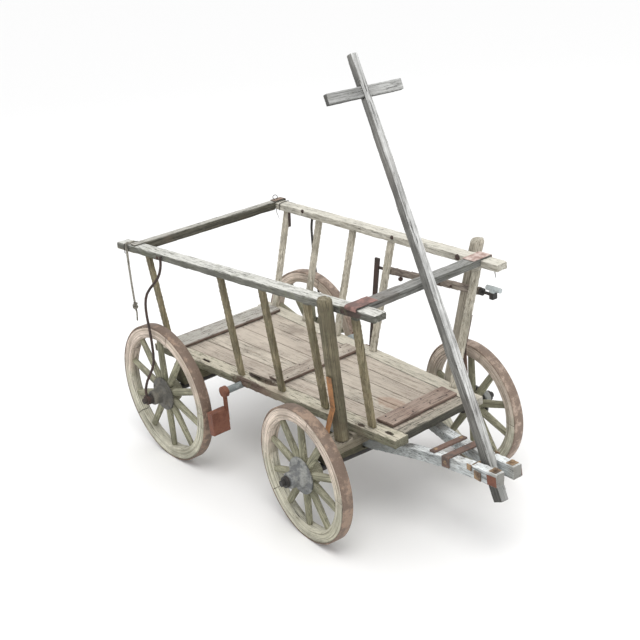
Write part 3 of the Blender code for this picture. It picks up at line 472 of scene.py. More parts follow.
def disc(centre, axis, profile):
    """Rings of a turned solid from (along, radius) points."""
    axis = Vector(axis).normalized()
    side = (Z if abs(axis.z) < 0.9 else X).cross(axis).normalized()
    up = axis.cross(side)
    rings = []
    for along, radius in profile:
        middle = centre + axis * along
        rings.append([middle + side * radius * cos(a) + up * radius * sin(a) for a in circle(DISC_SIDES)])
    return rings


def dome(centre, axis, radius, height):
    """A bolt head or nail head."""
    sunk = -0.001
    profile = [(sunk, radius), (height * 0.45, radius), (height * 0.85, radius * 0.72), (height, radius * 0.3)]
    return disc(centre, axis, profile)


def box_rings(centre, x, y, z, sizes):
    """Rings of a box about centre with the axes x, y, z."""
    a, b, c = (s / 2 for s in sizes)
    ends = []
    for side in (-1, 1):
        middle = centre + x * side * a
        ends.append([middle + y * b * i + z * c * j for i, j in ((-1, -1), (1, -1), (1, 1), (-1, 1))])
    return ends


def tube(points, radius, sides=8, end_radius=None):
    """Rings of a round rod along points."""
    path = [Vector(point) for point in points]
    rings = []
    across = None
    for i, point in enumerate(path):
        ahead = heading(path, i)
        start = across or (Y if abs(ahead.y) < 0.9 else X)
        across = (start - ahead * start.dot(ahead)).normalized()
        other = ahead.cross(across)
        share = i / (len(path) - 1)
        size = radius if end_radius is None else radius + (end_radius - radius) * share
        rings.append([point + across * size * cos(a) + other * size * sin(a) for a in circle(sides)])
    return rings


def smooth_path(points, steps):
    """A smooth curve through points, read at steps places on each stretch."""
    path = [Vector(point) for point in points]
    padded = [path[0] * 2 - path[1], *path, path[-1] * 2 - path[-2]]
    found = []
    for a, b, c, d in zip(padded, padded[1:], padded[2:], padded[3:]):
        for k in range(steps):
            t = k / steps
            bend = (d - c * 3 + b * 3 - a) * t**3 + (a * 2 - b * 5 + c * 4 - d) * t**2
            found.append((bend + (c - a) * t + b * 2) * 0.5)
    return [*found, path[-1]]


def strip(points, thick, x_axis, half_width, seed):
    """Rings of a flat strip bent along points, lying across x_axis, with uneven edges."""
    chance = random.Random(seed)
    path = [Vector(point) for point in points]
    rings = []
    for i, point in enumerate(path):
        ahead = heading(path, i)
        out = ahead.cross(x_axis).normalized()
        if out.z < -0.3:
            out = -out
        low = point - x_axis * (half_width - chance.random() * STRIP_EDGE)
        high = point + x_axis * (half_width - chance.random() * STRIP_EDGE)
        rings.append([low, high, high + out * thick, low + out * thick])
    return rings


# Wheels

FELLOES, SPOKES, HUB_BOLTS = 5, 10, 5
FELLOE_DEEP = 0.0423
TYRE_SEGMENTS, FELLOE_SEGMENTS, NAVE_SEGMENTS = 128, 26, 48
SPOKE_SIDES, SPOKE_SQUARE = 16, 2.6
FELLOE_GAP, SPOKE_START, SPOKE_TENON = 0.004, 0.041, 0.004
HUB_BOLT_REACH, HUB_BOLT_SIDE = 0.0515, 0.0183
# The tyre's section, as (side, how far inside the wheel's radius)
TYRE = [
    (-0.018, 0.0051), (0.018, 0.0051), (0.018, 0.0018),
    (0.0168, 0.0007), (-0.0168, 0.0007), (-0.018, 0.0018),
]
# A spoke's width and depth, at shares of its way from the nave to the felloe
SPOKE_SIZES = [
    (0, 0.023, 0.022), (0.08, 0.0255, 0.0215), (0.25, 0.0265, 0.020), (0.5, 0.0255, 0.0185),
    (0.75, 0.024, 0.0175), (0.93, 0.0225, 0.017), (1.0, 0.0205, 0.016),
]
# The nave and the hub iron, as (side, reach) from the wheel's centre
NAVE = [
    (-0.0448, 0.0108), (-0.0448, 0.0315), (-0.036, 0.039), (-0.020, 0.0438), (-0.014, 0.0457),
    (0.011, 0.0457), (0.0122, 0.044), (0.0122, 0.0108),
]
HUB_IRON = [
    (0.0123, 0.0108), (0.0123, 0.0597), (0.0172, 0.0597), (0.0184, 0.0585), (0.0187, 0.045),
    (0.0215, 0.040), (0.026, 0.0385), (0.031, 0.0362), (0.0335, 0.030), (0.036, 0.0278),
    (0.047, 0.0262), (0.059, 0.0258), (0.0632, 0.023), (0.0638, 0.0165), (0.0638, 0.0108),
]


def wheel_axes(end, hand):
    """A wheel's centre, its axle's direction outward, and the way forward."""
    side = -1 if hand == "right" else 1
    if end == "rear":
        return spot(0, side * HALF_TRACK, RADII[end]), Y * side, X
    return carriage(0, side * HALF_TRACK, RADII[end]), CARRIAGE_Y * side, CARRIAGE_X


def ring_grain(centre, axis, forward, radial):
    """Grain that follows the rim, or the spokes where radial."""

    def coordinates(m):
        at = m.away(centre)
        along, high = m.dot(at, forward), m.dot(at, Z)
        reach = m.math("SQRT", m.plus(m.times(along, along), m.times(high, high)))
        turn = m.times(m.math("ARCTAN2", high, along), 0.2)
        if radial:
            return m.join(reach, turn, m.dot(at, axis))
        return m.join(turn, reach, m.dot(at, axis))

    return coordinates


def felloe_wood(tag, centre, axis, forward):
    """Beige wood above and olive wood below, as the damp leaves it."""

    def tone(m, colour):
        ragged = m.ragged(m.dot(m.away(centre), Z), 14.0, 0.16)
        return m.mix(m.times(m.step(ragged, -0.06, 0.10), 0.72), colour, m.scaled(colour, (1.20, 1.00, 1.06)))

    grain = ring_grain(centre, axis, forward, False)
    return wood(f"felloe_wood_{tag}", grain, FELLOE, 0.3, 0.12, 0.7, tone=tone)


def spoke_wood(tag, centre, axis, forward):
    """Olive wood along the spokes, also for the nave."""
    return wood(f"spoke_wood_{tag}", ring_grain(centre, axis, forward, True), WHEEL, 0.35, 0.22, 0.5)


def arc(at, profile, angles, wobble, seed):
    """Rings of a closed (side, reach) profile at angles, made uneven. at(angle, reach, side) places a point."""
    rows = []
    for angle in angles:
        row = []
        for side, reach in profile:
            here = Vector((cos(angle) * 4, sin(angle) * 4, side * 90 + seed))
            row.append(at(angle, reach + wobble * (noise.noise(here) - 0.5), side))
        rows.append(row)
    return rows


def felloe_profile(inner, outer, chance):
    """A felloe's section, with rounded inner edges."""
    half = 0.0196 - chance.random() * 0.0012
    edge = 0.003 + chance.random() * 0.0015
    small = 0.0015
    return [
        (-half, inner + edge), (-half + edge * 0.4, inner + edge * 0.35), (-half + edge, inner),
        (half - edge, inner), (half - edge * 0.4, inner + edge * 0.35), (half, inner + edge),
        (half, outer - small), (half - small, outer), (-half + small, outer), (-half, outer - small),
    ]


def make_wheel(end, hand, tyre_iron, hub_iron, seed):
    """A wheel's tyre, felloes, spokes, nave, hub iron and bolts."""
    tag, body = f"{end}_{hand}", f"{end}_wheel_{hand}"
    centre, axis, forward = wheel_axes(end, hand)
    radius = RADII[end]
    chance = random.Random(seed)

    def at(angle, reach, side):
        return centre + (forward * cos(angle) + Z * sin(angle)) * reach + axis * side

    profile = [(side, radius - inset) for side, inset in TYRE]
    tyre = mesh_of("tyre", [arc(at, profile, circle(TYRE_SEGMENTS), -0.0005, seed)], 50, closed=True)
    piece(f"iron_tyre_{tag}", tyre, tyre_iron, body, (f"tyre_{tag}",))

    outer, inner = radius - 0.0054, radius - FELLOE_DEEP
    solids = []
    for k in range(FELLOES):
        start = 2 * pi * k / FELLOES + FELLOE_GAP + chance.random() * 0.003
        stop = 2 * pi * (k + 1) / FELLOES - FELLOE_GAP - chance.random() * 0.003
        angles = [start + (stop - start) * i / FELLOE_SEGMENTS for i in range(FELLOE_SEGMENTS + 1)]
        solids.append(arc(at, felloe_profile(inner, outer, chance), angles, 0.0016, seed + k))
    paint = felloe_wood(tag, centre, axis, forward)
    piece(f"felloes_{tag}", mesh_of("felloes", solids, 50), paint, body, (f"wheel_{tag}",))

    solids = []
    for k in range(SPOKES):
        angle = 2 * pi * (k + 0.5) / SPOKES + (chance.random() - 0.5) * 0.012
        out = forward * cos(angle) + Z * sin(angle)
        across = forward * -sin(angle) + Z * cos(angle)
        rings = []
        for share, wide, deep in SPOKE_SIZES:
            reach = SPOKE_START + (inner + SPOKE_TENON - SPOKE_START) * share
            ring = []
            for turn in circle(SPOKE_SIDES):
                c, s = cos(turn), sin(turn)
                bulge = (abs(c) ** SPOKE_SQUARE + abs(s) ** SPOKE_SQUARE) ** (-1 / SPOKE_SQUARE)
                dent = 1 - 0.05 * max(0.0, noise.noise(Vector((reach * 30, turn * 1.5, seed + k))))
                size = bulge * dent / 2
                ring.append(centre + out * reach + across * (wide * c * size) + axis * (deep * s * size))
            rings.append(ring)
        solids.append(rings)
    paint = spoke_wood(tag, centre, axis, forward)
    piece(f"spokes_{tag}", mesh_of("spokes", solids, 60), paint, body)

    def turned(name, profile, smooth):
        rows = [[at(angle, reach, side) for side, reach in profile] for angle in circle(NAVE_SEGMENTS)]
        return mesh_of(name, [rows], smooth, closed=True)

    piece(f"nave_{tag}", turned("nave", NAVE, 35), paint, body)
    piece(f"hub_iron_{tag}", turned("hub_iron", HUB_IRON, 30), hub_iron, body)
    places = [at(angle, HUB_BOLT_REACH, HUB_BOLT_SIDE) for angle in circle(HUB_BOLTS, 0.25)]
    heads = [dome(place, axis, 0.0042, 0.0026) for place in places]
    piece(f"hub_bolts_{tag}", mesh_of("hub_bolts", heads), hub_iron, body)


# The wood's and the iron's looks, with painted top light in the wood's pale colours


def palette(light, mid, dark, pale):
    """A wood's colours. pale is the colour of upward faces: partly sun bleaching, partly painted top light that
    makes the tops lighter than the sides.
    """
    return {"light": light, "mid": mid, "dark": dark, "pale": pale}


SILVER = palette((0.19, 0.19, 0.165), (0.115, 0.114, 0.094), (0.06, 0.058, 0.044), (0.58, 0.58, 0.545))
CREAM = palette((0.68, 0.66, 0.59), (0.5, 0.475, 0.4), (0.19, 0.17, 0.13), (0.64, 0.62, 0.55))
OLIVE = palette((0.235, 0.205, 0.13), (0.15, 0.128, 0.08), (0.05, 0.043, 0.027), (0.27, 0.24, 0.17))
DECK = palette((0.56, 0.495, 0.405), (0.39, 0.335, 0.265), (0.12, 0.095, 0.072), (0.61, 0.56, 0.48))
BROWN = palette((0.25, 0.18, 0.142), (0.16, 0.108, 0.084), (0.048, 0.033, 0.027), (0.3, 0.24, 0.2))
BLUISH = palette((0.48, 0.485, 0.475), (0.3, 0.303, 0.292), (0.085, 0.083, 0.075), (0.56, 0.565, 0.56))
PAINTED = palette((0.66, 0.7, 0.71), (0.48, 0.51, 0.51), (0.13, 0.135, 0.127), (0.8, 0.83, 0.835))
WHEEL = palette((0.41, 0.4, 0.285), (0.25, 0.24, 0.16), (0.075, 0.068, 0.044), (0.46, 0.44, 0.34))
FELLOE = palette((0.7, 0.68, 0.56), (0.5, 0.48, 0.37), (0.15, 0.138, 0.1), (0.7, 0.67, 0.57))
LOWER = palette((0.27, 0.262, 0.185), (0.19, 0.182, 0.125), (0.045, 0.042, 0.03), (0.54, 0.5, 0.405))
GREY = palette((0.215, 0.218, 0.205), (0.145, 0.147, 0.135), (0.045, 0.045, 0.038), (0.29, 0.29, 0.28))
SOOTY = palette((0.1, 0.094, 0.07), (0.062, 0.058, 0.042), (0.022, 0.02, 0.014), (0.46, 0.45, 0.41))
REDDISH = palette((0.21, 0.15, 0.12), (0.14, 0.095, 0.076), (0.045, 0.03, 0.024), (0.45, 0.44, 0.4))
SHADY = palette((0.065, 0.063, 0.049), (0.045, 0.043, 0.033), (0.026, 0.025, 0.018), (0.4, 0.365, 0.305))
BEIGE = palette((0.23, 0.2, 0.145), (0.155, 0.135, 0.095), (0.05, 0.043, 0.03), (0.38, 0.34, 0.28))
ASH = palette((0.54, 0.5, 0.42), (0.38, 0.345, 0.28), (0.1, 0.086, 0.062), (0.5, 0.47, 0.4))


def axis_grain(axis):
    """Straight grain along axis."""
    return lambda m: m.along(axis)


RUNG = Vector((0.047, 0, 0.38))
RAIL_FOOT = 0.742


def ladder_grain(m):
    """Along X in the rail, up the rungs below it."""
    rail = m.step(m.dot(m.where(), Z), RAIL_FOOT, RAIL_FOOT + 0.004)
    return m.blend("VECTOR", rail, m.along(RUNG), m.along(X))


def rail_or_rung(tint, places=()):
    """A tone that tints the rungs and leaves the rail, with patches."""

    def tone(m, colour):
        below = m.step(m.dot(m.where(), Z), RAIL_FOOT + 0.004, RAIL_FOOT)
        return spots(places)(m, m.mix(below, colour, m.scaled(colour, tint)))

    return tone


def tongue_painted_light(m, colour):
    """The lower end is darker, the right side gets painted shade and the front gets painted light."""
    low = m.step(m.dot(m.where(), Z), 0.56, 0.30)
    colour = m.mix(m.times(low, 0.65), colour, m.scaled(colour, (0.42, 0.42, 0.40)))
    # Painted light: faces turned to the front are made lighter
    front = m.step(m.facing(CARRIAGE_X), 0.3, 0.8)
    colour = m.mix(front, colour, m.scaled(colour, (1.42, 1.42, 1.43)))
    # Painted shade: faces turned to the right are made darker
    side = m.step(m.facing(-CARRIAGE_Y), 0.3, 0.8)
    return m.mix(side, colour, m.scaled(colour, (0.60, 0.59, 0.57)))


def handle_tone_and_painted_shade(m, colour):
    """Dark end grain with painted shade on the right end face, painted shade on the underside, and a greyer right
    half.
    """
    middle = carriage(PIVOT[0], 0, PIVOT[1]).dot(CARRIAGE_Y) - 0.03
    right = m.step(m.dot(m.where(), CARRIAGE_Y), middle + 0.04, middle - 0.04)
    colour = m.mix(right, colour, m.scaled(colour, (0.72, 0.72, 0.72)))
    # Painted shade: the underside and the right end face are made near black; on the end face it also stands for
    # dark end grain
    end, under = m.step(m.facing(-CARRIAGE_Y), 0.5, 0.9), m.step(m.facing(-Z), 0.55, 0.9)
    return m.mix(m.times(m.math("MAXIMUM", end, under), 0.8), colour, (0.045, 0.045, 0.042))


def fork_shade(m, colour):
    """Grey end grain at the fork's tips and bare grey wood behind."""
    ragged = m.ragged(m.dot(m.away(carriage(0, 0, 0)), CARRIAGE_X), 60.0, 0.05)
    end = m.step(m.facing(CARRIAGE_X), 0.5, 0.9)
    colour = m.mix(m.times(end, 0.85), colour, (0.10, 0.10, 0.095))
    colour = m.mix(m.times(m.step(ragged, 0.485, 0.515), 0.55), colour, (0.33, 0.32, 0.29))
    return m.mix(m.times(m.step(ragged, 0.20, 0.08), 0.7), colour, (0.22, 0.235, 0.23))


def spots(places):
    """A tone with patches: each has a centre, its radii, a colour and a strength."""

    def tone(m, colour):
        for centre, radii, shade, strength in places:
            reach = m.length(m.scaled(m.away(centre), tuple(1 / r for r in radii)))
            inside = m.step(m.ragged(reach, 90.0, 0.7), 1.0, 0.75)
            colour = m.mix(m.times(inside, strength), colour, shade)
        return colour

    return tone


def board_shades(m, colour):
    """A tone of its own for each floor board, and stains."""
    place = m.where()
    x, y = m.dot(place, X), m.dot(place, Y)
    half = m.minus(lower_half(MIDDLE) - RAIL_WIDTH - BOARD_GAP, m.times(x, LOWER_TAPER))
    index = m.math("FLOOR", m.times(m.plus(m.math("DIVIDE", y, half), 1.0), BOARDS / 2))
    random_share = m.add("ShaderNodeTexWhiteNoise", {"W": m.plus(index, 3.0)}, noise_dimensions="1D")
    colour = m.mix(m.times(random_share.outputs["Value"], 0.5), colour, (0.40, 0.33, 0.28))
    return spots([
        (spot(0.82, -0.026, 0.36), (0.07, 0.035, 0.02), (0.33, 0.19, 0.13), 0.42),
        (spot(0.10, 0.05, 0.36), (0.22, 0.10, 0.02), (0.52, 0.46, 0.39), 0.45),
        (spot(0.62, 0.02, 0.36), (0.18, 0.09, 0.02), (0.50, 0.45, 0.38), 0.4),
    ])(m, colour)


# Near-black painted shade for the carved holes in the right lower rail; in the rotted hollow it also stands for dark
# rot
HOLE_PAINTED_SHADE = (0.030, 0.018, 0.014)
CRANK_GRIP = spot(0.996, 0.249, 0.698)
STRAP_STAIN = (spot(0.945, -0.2785, 0.776), (0.050, 0.012, 0.022), (0.055, 0.033, 0.028), 0.85)
ladder_near = wood("ladder_wood_right", ladder_grain, SILVER, 0.95, 0.25, 0.7,
                   tone=rail_or_rung((1.70, 1.46, 1.06), [STRAP_STAIN]))
ladder_far = wood("ladder_wood_left", ladder_grain, CREAM, 0.75, 0.08, 0.7, tone=rail_or_rung((0.98, 0.955, 0.91)))
lower_near = wood("lower_wood_right", axis_grain(X), LOWER, 0.95, 0.30, 0.8, ((0.20, 0.15, 0.11), 0.5), spots([
    # The near-black patches are painted shade in the rotted hollow, the slot's mortise and the mortises
    (spot(0.37, -0.187, 0.362), (0.092, 0.017, 0.03), HOLE_PAINTED_SHADE, 0.96),
    (spot(0.36, -0.2285, 0.345), (0.12, 0.014, 0.03), (0.070, 0.036, 0.028), 0.85),
    (spot(0.452, -0.205, 0.362), (0.030, 0.016, 0.02), (0.62, 0.55, 0.45), 0.8),
    (spot(0.098, -0.223, 0.362), (0.026, 0.007, 0.02), HOLE_PAINTED_SHADE, 1.0),
    (spot(0.853, -0.188, 0.362), (0.018, 0.008, 0.02), HOLE_PAINTED_SHADE, 0.95),
    (spot(0.952, -0.166, 0.362), (0.020, 0.008, 0.02), HOLE_PAINTED_SHADE, 0.95),
]))
lower_far = wood("lower_wood_left", axis_grain(X), {**CREAM, "pale": (0.56, 0.52, 0.43)}, 0.8, 0.12, 0.7)
deck = wood("deck_wood", axis_grain(X), DECK, 0.6, 0.05, 0.8, ((0.20, 0.16, 0.13), 0.45), board_shades)
front_bar = wood("front_bar_wood", axis_grain(Y), GREY, 0.8, 0.10, 0.7, ((0.10, 0.075, 0.06), 0.4))
rear_bar = wood("rear_bar_wood", axis_grain(Y), SOOTY, 0.9, 0.10, 0.6, ((0.12, 0.070, 0.052), 0.4))
rear_board = wood("rear_board_wood", axis_grain(Y), REDDISH, 0.9, 0.10, 0.6)
middle_batten = wood("middle_batten_wood", axis_grain(Y), {**REDDISH, "pale": (0.50, 0.45, 0.38)},
                     0.9, 0.05, 0.8, ((0.16, 0.10, 0.08), 0.3))
front_batten = wood("front_batten_wood", axis_grain(Y), {**REDDISH, "pale": (0.38, 0.30, 0.25)},
                    0.8, 0.05, 0.8, ((0.16, 0.09, 0.07), 0.5))
member = wood("member_wood", axis_grain(Y), SHADY, 0.85, 0.15, 0.7)
bolster = wood("bolster_wood", axis_grain(Y), BEIGE, 0.85, 0.20, 0.6)
bed_wood = wood("bed_wood", axis_grain(Y), {**OLIVE, "light": (0.13, 0.12, 0.075), "mid": (0.09, 0.082, 0.050)},
                0.5, 0.3, 0.6)
stake_near = wood("stake_wood_right", axis_grain(Vector((0.066, -0.08, 0.49))), OLIVE,
                  0.5, 0.30, 0.8, ((0.11, 0.085, 0.062), 0.5))
stake_far = wood("stake_wood_left", axis_grain(Vector((0.066, 0.08, 0.49))), ASH,
                 0.5, 0.10, 0.8, ((0.12, 0.10, 0.07), 0.35))
board = wood("board_wood", axis_grain(X), {**BROWN, "light": (0.30, 0.26, 0.22), "mid": (0.18, 0.152, 0.126)},
             0.6, 0.1, 0.6, ((0.07, 0.052, 0.045), 0.6))
tongue = wood("tongue_wood", axis_grain(TONGUE_UP), BLUISH,
              0.45, 0.03, 0.8, ((0.13, 0.115, 0.105), 0.40), tongue_painted_light)
handle = wood("handle_wood", axis_grain(CARRIAGE_Y), BLUISH,
              0.5, 0.06, 0.8, ((0.14, 0.12, 0.09), 0.45), handle_tone_and_painted_shade)
fork = wood("fork_wood", axis_grain(CARRIAGE_X), PAINTED,
            0.85, 0.04, 0.7, ((0.19, 0.17, 0.14), 0.50), fork_shade)

rust = iron("rust_iron", (0.15, 0.105, 0.078), (0.31, 0.225, 0.17), 0.5, metallic=0.05)
pale_rust = iron("pale_rust_iron", (0.20, 0.145, 0.11), (0.42, 0.33, 0.27), 0.55, metallic=0.05)
strap_rust = iron("strap_rust_iron", (0.10, 0.075, 0.065), (0.19, 0.125, 0.10), 0.6, metallic=0.1)
red_rust = iron("red_rust_iron", (0.13, 0.045, 0.025), (0.20, 0.085, 0.055), 0.6, metallic=0.1)
orange_rust = iron("orange_rust_iron", (0.20, 0.10, 0.045), (0.36, 0.175, 0.075), 0.65, metallic=0.05)
faded_red = iron("faded_red_iron", (0.11, 0.06, 0.05), (0.27, 0.155, 0.135), 0.6, metallic=0.05)
pale_red = iron("pale_red_iron", (0.30, 0.19, 0.16), (0.55, 0.45, 0.41), 0.6, metallic=0.05)
golden = iron("golden_rust_iron", (0.12, 0.085, 0.06), (0.33, 0.23, 0.14), 0.6, metallic=0.1)
dark = iron("dark_iron", (0.030, 0.029, 0.028), (0.065, 0.050, 0.042), 0.4)
dark_brown = iron("dark_brown_iron", (0.040, 0.028, 0.024), (0.075, 0.048, 0.040), 0.6)
pipe = iron("pipe_iron", (0.20, 0.225, 0.225), (0.36, 0.39, 0.385), 0.5)
crank = iron("crank_iron", (0.030, 0.029, 0.028), (0.065, 0.050, 0.042), 0.4, tone=spots([
    (CRANK_GRIP, (0.055, 0.035, 0.0150), (0.50, 0.545, 0.55), 0.9),
]))
hub_rear = iron("hub_iron_rear", (0.085, 0.082, 0.072), (0.16, 0.15, 0.125), 0.5, metallic=0.1)
hub_front = iron("hub_iron_front", (0.12, 0.125, 0.128), (0.29, 0.295, 0.28), 0.5, metallic=0.1)


def hemp_paint():
    """Grey hemp with dirt."""
    m = Maker("hemp")
    at = m.where()
    fibre = m.noise(at, 420.0, 4, 0.7)
    patch = m.noise(at, 60.0, 3, 0.6)
    colour = m.mix(m.step(fibre, 0.35, 0.65), (0.16, 0.15, 0.125), (0.44, 0.42, 0.37))
    colour = m.mix(m.times(m.step(patch, 0.42, 0.60), 0.7), colour, (0.09, 0.08, 0.062))
    return m.finish(colour, 0.95, fibre, HEMP_BUMP)


hemp = hemp_paint()


# The worn wood


def rotten(at, _out):
    """The rotted hollow in the right lower rail, and its slot and mortises."""
    ragged = 0.6 + 0.8 * (noise.noise(at * 130) + 0.5)
    deep = bowl(at, spot(0.37, -0.187, 0.364), (0.085, 0.016, 0.02), 0.011) * ragged
    deep += bowl(at, spot(0.36, -0.230, 0.356), (0.10, 0.012, 0.016), 0.006) * ragged
    deep += bowl(at, spot(0.098, -0.223, 0.362), (0.026, 0.007, 0.01), 0.007)
    deep += bowl(at, spot(0.853, -0.188, 0.362), (0.016, 0.007, 0.01), 0.006)
    return deep + bowl(at, spot(0.952, -0.166, 0.362), (0.018, 0.007, 0.01), 0.006)


def rail_ends(at, _out):
    """Rounded, broken ends of the top rails."""
    if at.z < 0.735:
        return 0.0
    x = at.x + MIDDLE
    rear, front, reach = -0.128 if at.y > 0 else -0.205, 1.037, 0.014
    closeness = max(0.0, reach - min(x - rear, front - x)) / reach
    return 0.003 * closeness**2 * (1 + 0.8 * noise.noise(at * 90))


def stake_top(at, out):
    """Splits in a stake's top."""
    foot = 0.76
    if at.z < foot:
        return 0.0
    split = max(0.0, cos(atan2(out.y, out.x) * 3 + 1.0)) ** 6
    return 0.004 * split * (at.z - foot) / 0.05 + 0.0025 * max(0.0, noise.noise(at * 70))


def handle_ends(at, _out):
    """Chips at the handle's left end."""
    reach = (at - carriage(PIVOT[0], 0, PIVOT[1])).dot(CARRIAGE_Y)
    chips = max(0.0, reach - 0.085) / 0.046
    return 0.0016 * chips**2 * (1 + noise.noise(at * 60))


def worn_wood():
    """Every wooden node but the floor and the wheels."""
    worn("lower_rail_right", lower_near, 0.003, 0.0016, carve=rotten)
    worn("lower_rail_left", lower_far)
    worn("ladder_right", ladder_near, 0.003, 0.0009, carve=rail_ends, rounds=1)
    worn("ladder_left", ladder_far, 0.003, 0.0009, carve=rail_ends, rounds=1)
    worn("crossbar_rear", rear_bar, 0.003, along=Y)
    worn("crossbar_front", front_bar, 0.003, along=Y)
    worn("rear_cross_board", rear_board, 0.003, along=Y)
    worn("deck_batten_middle", middle_batten, 0.003, 0.0012, along=Y)
    worn("deck_batten_front", front_batten, 0.003, 0.0012, along=Y)
    worn("front_cross_member", member, 0.003, along=Y)
    worn("bolster_front", bolster, along=Y)
    worn("bolster_rear", bed_wood, along=Y)
    worn("axle_bed_front", bed_wood, along=Y)
    worn("fork_rear_bar", bed_wood, along=Y)
    worn("stake_right", stake_near, 0.003, 0.0020, along=Z, carve=stake_top)
    worn("stake_left", stake_far, 0.003, 0.0020, along=Z, carve=stake_top)
    worn("brake_board", board, 0.003, 0.0012)
    for hand in ("right", "left"):
        worn(f"fork_arm_{hand}", fork, 0.003, 0.0014, along=CARRIAGE_X)
    worn("tongue", tongue, 0.003, 0.0010, along=TONGUE_UP, rounds=1)
    worn("tongue_handle", handle, 0.0025, 0.0010, along=CARRIAGE_Y, carve=handle_ends, rounds=1)


def floor_boards():
    """Five boards with joints between them, each a little uneven."""
    rear, front, low, high = -0.165, 0.9487, 0.3465, 0.3605
    stations, dips = 75, 12
    chamfer, sunk = 0.0015, high - 0.0016
    solids = []
    for k in range(BOARDS):
        rings = []
        for i in range(stations):
            x = rear + (front - rear) * i / (stations - 1)
            half = lower_half(x) - RAIL_WIDTH - BOARD_GAP
            pitch = (2 * half + BOARD_GAP) / BOARDS
            start = -half + k * pitch + 0.0005 * (noise.noise(Vector((x * 22, k * 3.1, 5))) + 0.6)
            stop = -half + (k + 1) * pitch - BOARD_GAP - 0.0005 * (noise.noise(Vector((x * 22, k * 3.1, 9))) + 0.6)
            top = high + 0.0011 * (noise.noise(Vector((x * 5, k * 7.3, 1))) - 0.6)
            ring = [(start, low), (stop, low), (stop, sunk), (stop - chamfer, top - 0.0002)]
            for j in range(1, dips):
                y = stop - (stop - start) * j / dips
                ring.append((y, top + 0.0007 * (noise.noise(Vector((x * 9, y * 190, k))) - 0.5)))
            ring += [(start + chamfer, top - 0.0002), (start, sunk)]
            rings.append([spot(x, y, z) for y, z in ring])
        solids.append(rings)
    piece("floor_boards", mesh_of("floor_boards", solids, 50), deck, "cart", ("deck_boards",))


BARE_IRON = {
    "axle_front": dark, "axle_rear": dark, "king_pin": dark, "stay_left": dark, "stay_right": dark_brown,
    "brake_crank": crank, "brake_lever": dark_brown, "brake_rod": dark, "brake_shaft": pipe,
    "brake_arm_left": red_rust, "brake_arm_right": red_rust, "fork_flat_bar": strap_rust,
    "fork_band": strap_rust, "pivot_bolt": golden, "stop_bolt": golden,
    "stake_brace_left": strap_rust, "stake_brace_right": orange_rust,
}


# Straps, bolts, nails and wires


def fork_high(x):
    """The height of the fork arms' upper face, x from the king pin."""
    return 0.2749 + 0.115 * max(0.0, x - 0.05)


def crossbar_straps():
    """A strap over each end of the front crossbar, and a band at the rear bar's left end."""
    for tag, side, seed, paint in (("right", -1, 5, faded_red), ("left", 1, 8, pale_red)):
        edge = top_half(0.95)
        top = 0.7936
        route = [
            spot(0.947, side * (edge - 0.080), top), spot(0.947, side * (edge - 0.060), top + 0.0004),
            spot(0.947, side * (edge - 0.030), top), spot(0.946, side * (edge - 0.006), top),
            spot(0.946, side * (edge + 0.0012), top - 0.0025), spot(0.946, side * (edge + 0.0022), top - 0.010),
        ]
        mesh = mesh_of("strap", [strip(smooth_path(route, 3), 0.0014, X, 0.0235, seed)], 30)
        piece(f"crossbar_strap_{tag}", mesh, paint, "cart")
    x = -0.108
    edge = top_half(-0.109)
    route = [
        spot(x, edge - 0.052, 0.7735), spot(x, edge - 0.020, 0.7735),
        spot(x, edge + 0.0012, 0.771), spot(x, edge + 0.002, 0.755),
    ]
    mesh = mesh_of("band", [strip(smooth_path(route, 3), 0.0012, X, 0.0135, 2)], 30)
    piece("rear_bar_band", mesh, rust, "cart")


def cart_fixings():
    """Bolts in the rails and the brake board, nails in the boards and battens, and a sliver of a rung."""
    screw = [(0, 0.003), (0.005, 0.003), (0.006, 0.0075), (0.012, 0.0085), (0.017, 0.0045)]
    heads = [
        dome(spot(0.036, -top_half(0.036) + 0.0012, 0.752), -Y, 0.0065, 0.005),
        dome(spot(0.91, -top_half(0.91) + 0.0012, 0.772), -Y, 0.0065, 0.005),
        dome(spot(0.072, top_half(0.072) - 0.0448, 0.766), -Y, 0.007, 0.005),
        dome(spot(0.563, top_half(0.563) - 0.0448, 0.772), -Y, 0.007, 0.005),
        dome(spot(0.868, top_half(0.868) - 0.0448, 0.775), -Y, 0.0095, 0.006),
        disc(spot(0.578, 0.2650, 0.6365), -Z, screw),
        dome(spot(0.770, 0.2494, 0.661), -Y, 0.004, 0.003),
        dome(spot(0.822, 0.2473, 0.665), -Y, 0.004, 0.003),
    ]
    for x, y in ((-0.06, -0.10), (-0.12, -0.09), (-0.06, 0.08), (-0.12, 0.11), (-0.07, 0.0), (-0.115, 0.02)):
        heads.append(dome(spot(x, y, 0.3742), Z, 0.0032, 0.0012))
    for x in (0.40, 0.445, 0.885, 0.925):
        for y in (-0.14, -0.05, 0.04, 0.13):
            heads.append(dome(spot(x, y * (lower_half(x) - 0.06) / 0.165, 0.3732), Z, 0.003, 0.0012))
    piece("cart_bolts_and_nails", mesh_of("fixings", heads, 50), dark_brown, "cart")

    sliver = box_rings(spot(-0.019, 0.284, 0.716), X, Y, Vector((0.02, 0.05, 1)).normalized(), (0.004, 0.010, 0.054))
    piece("broken_sliver", mesh_of("sliver", [sliver], 30), dark_brown, "cart")


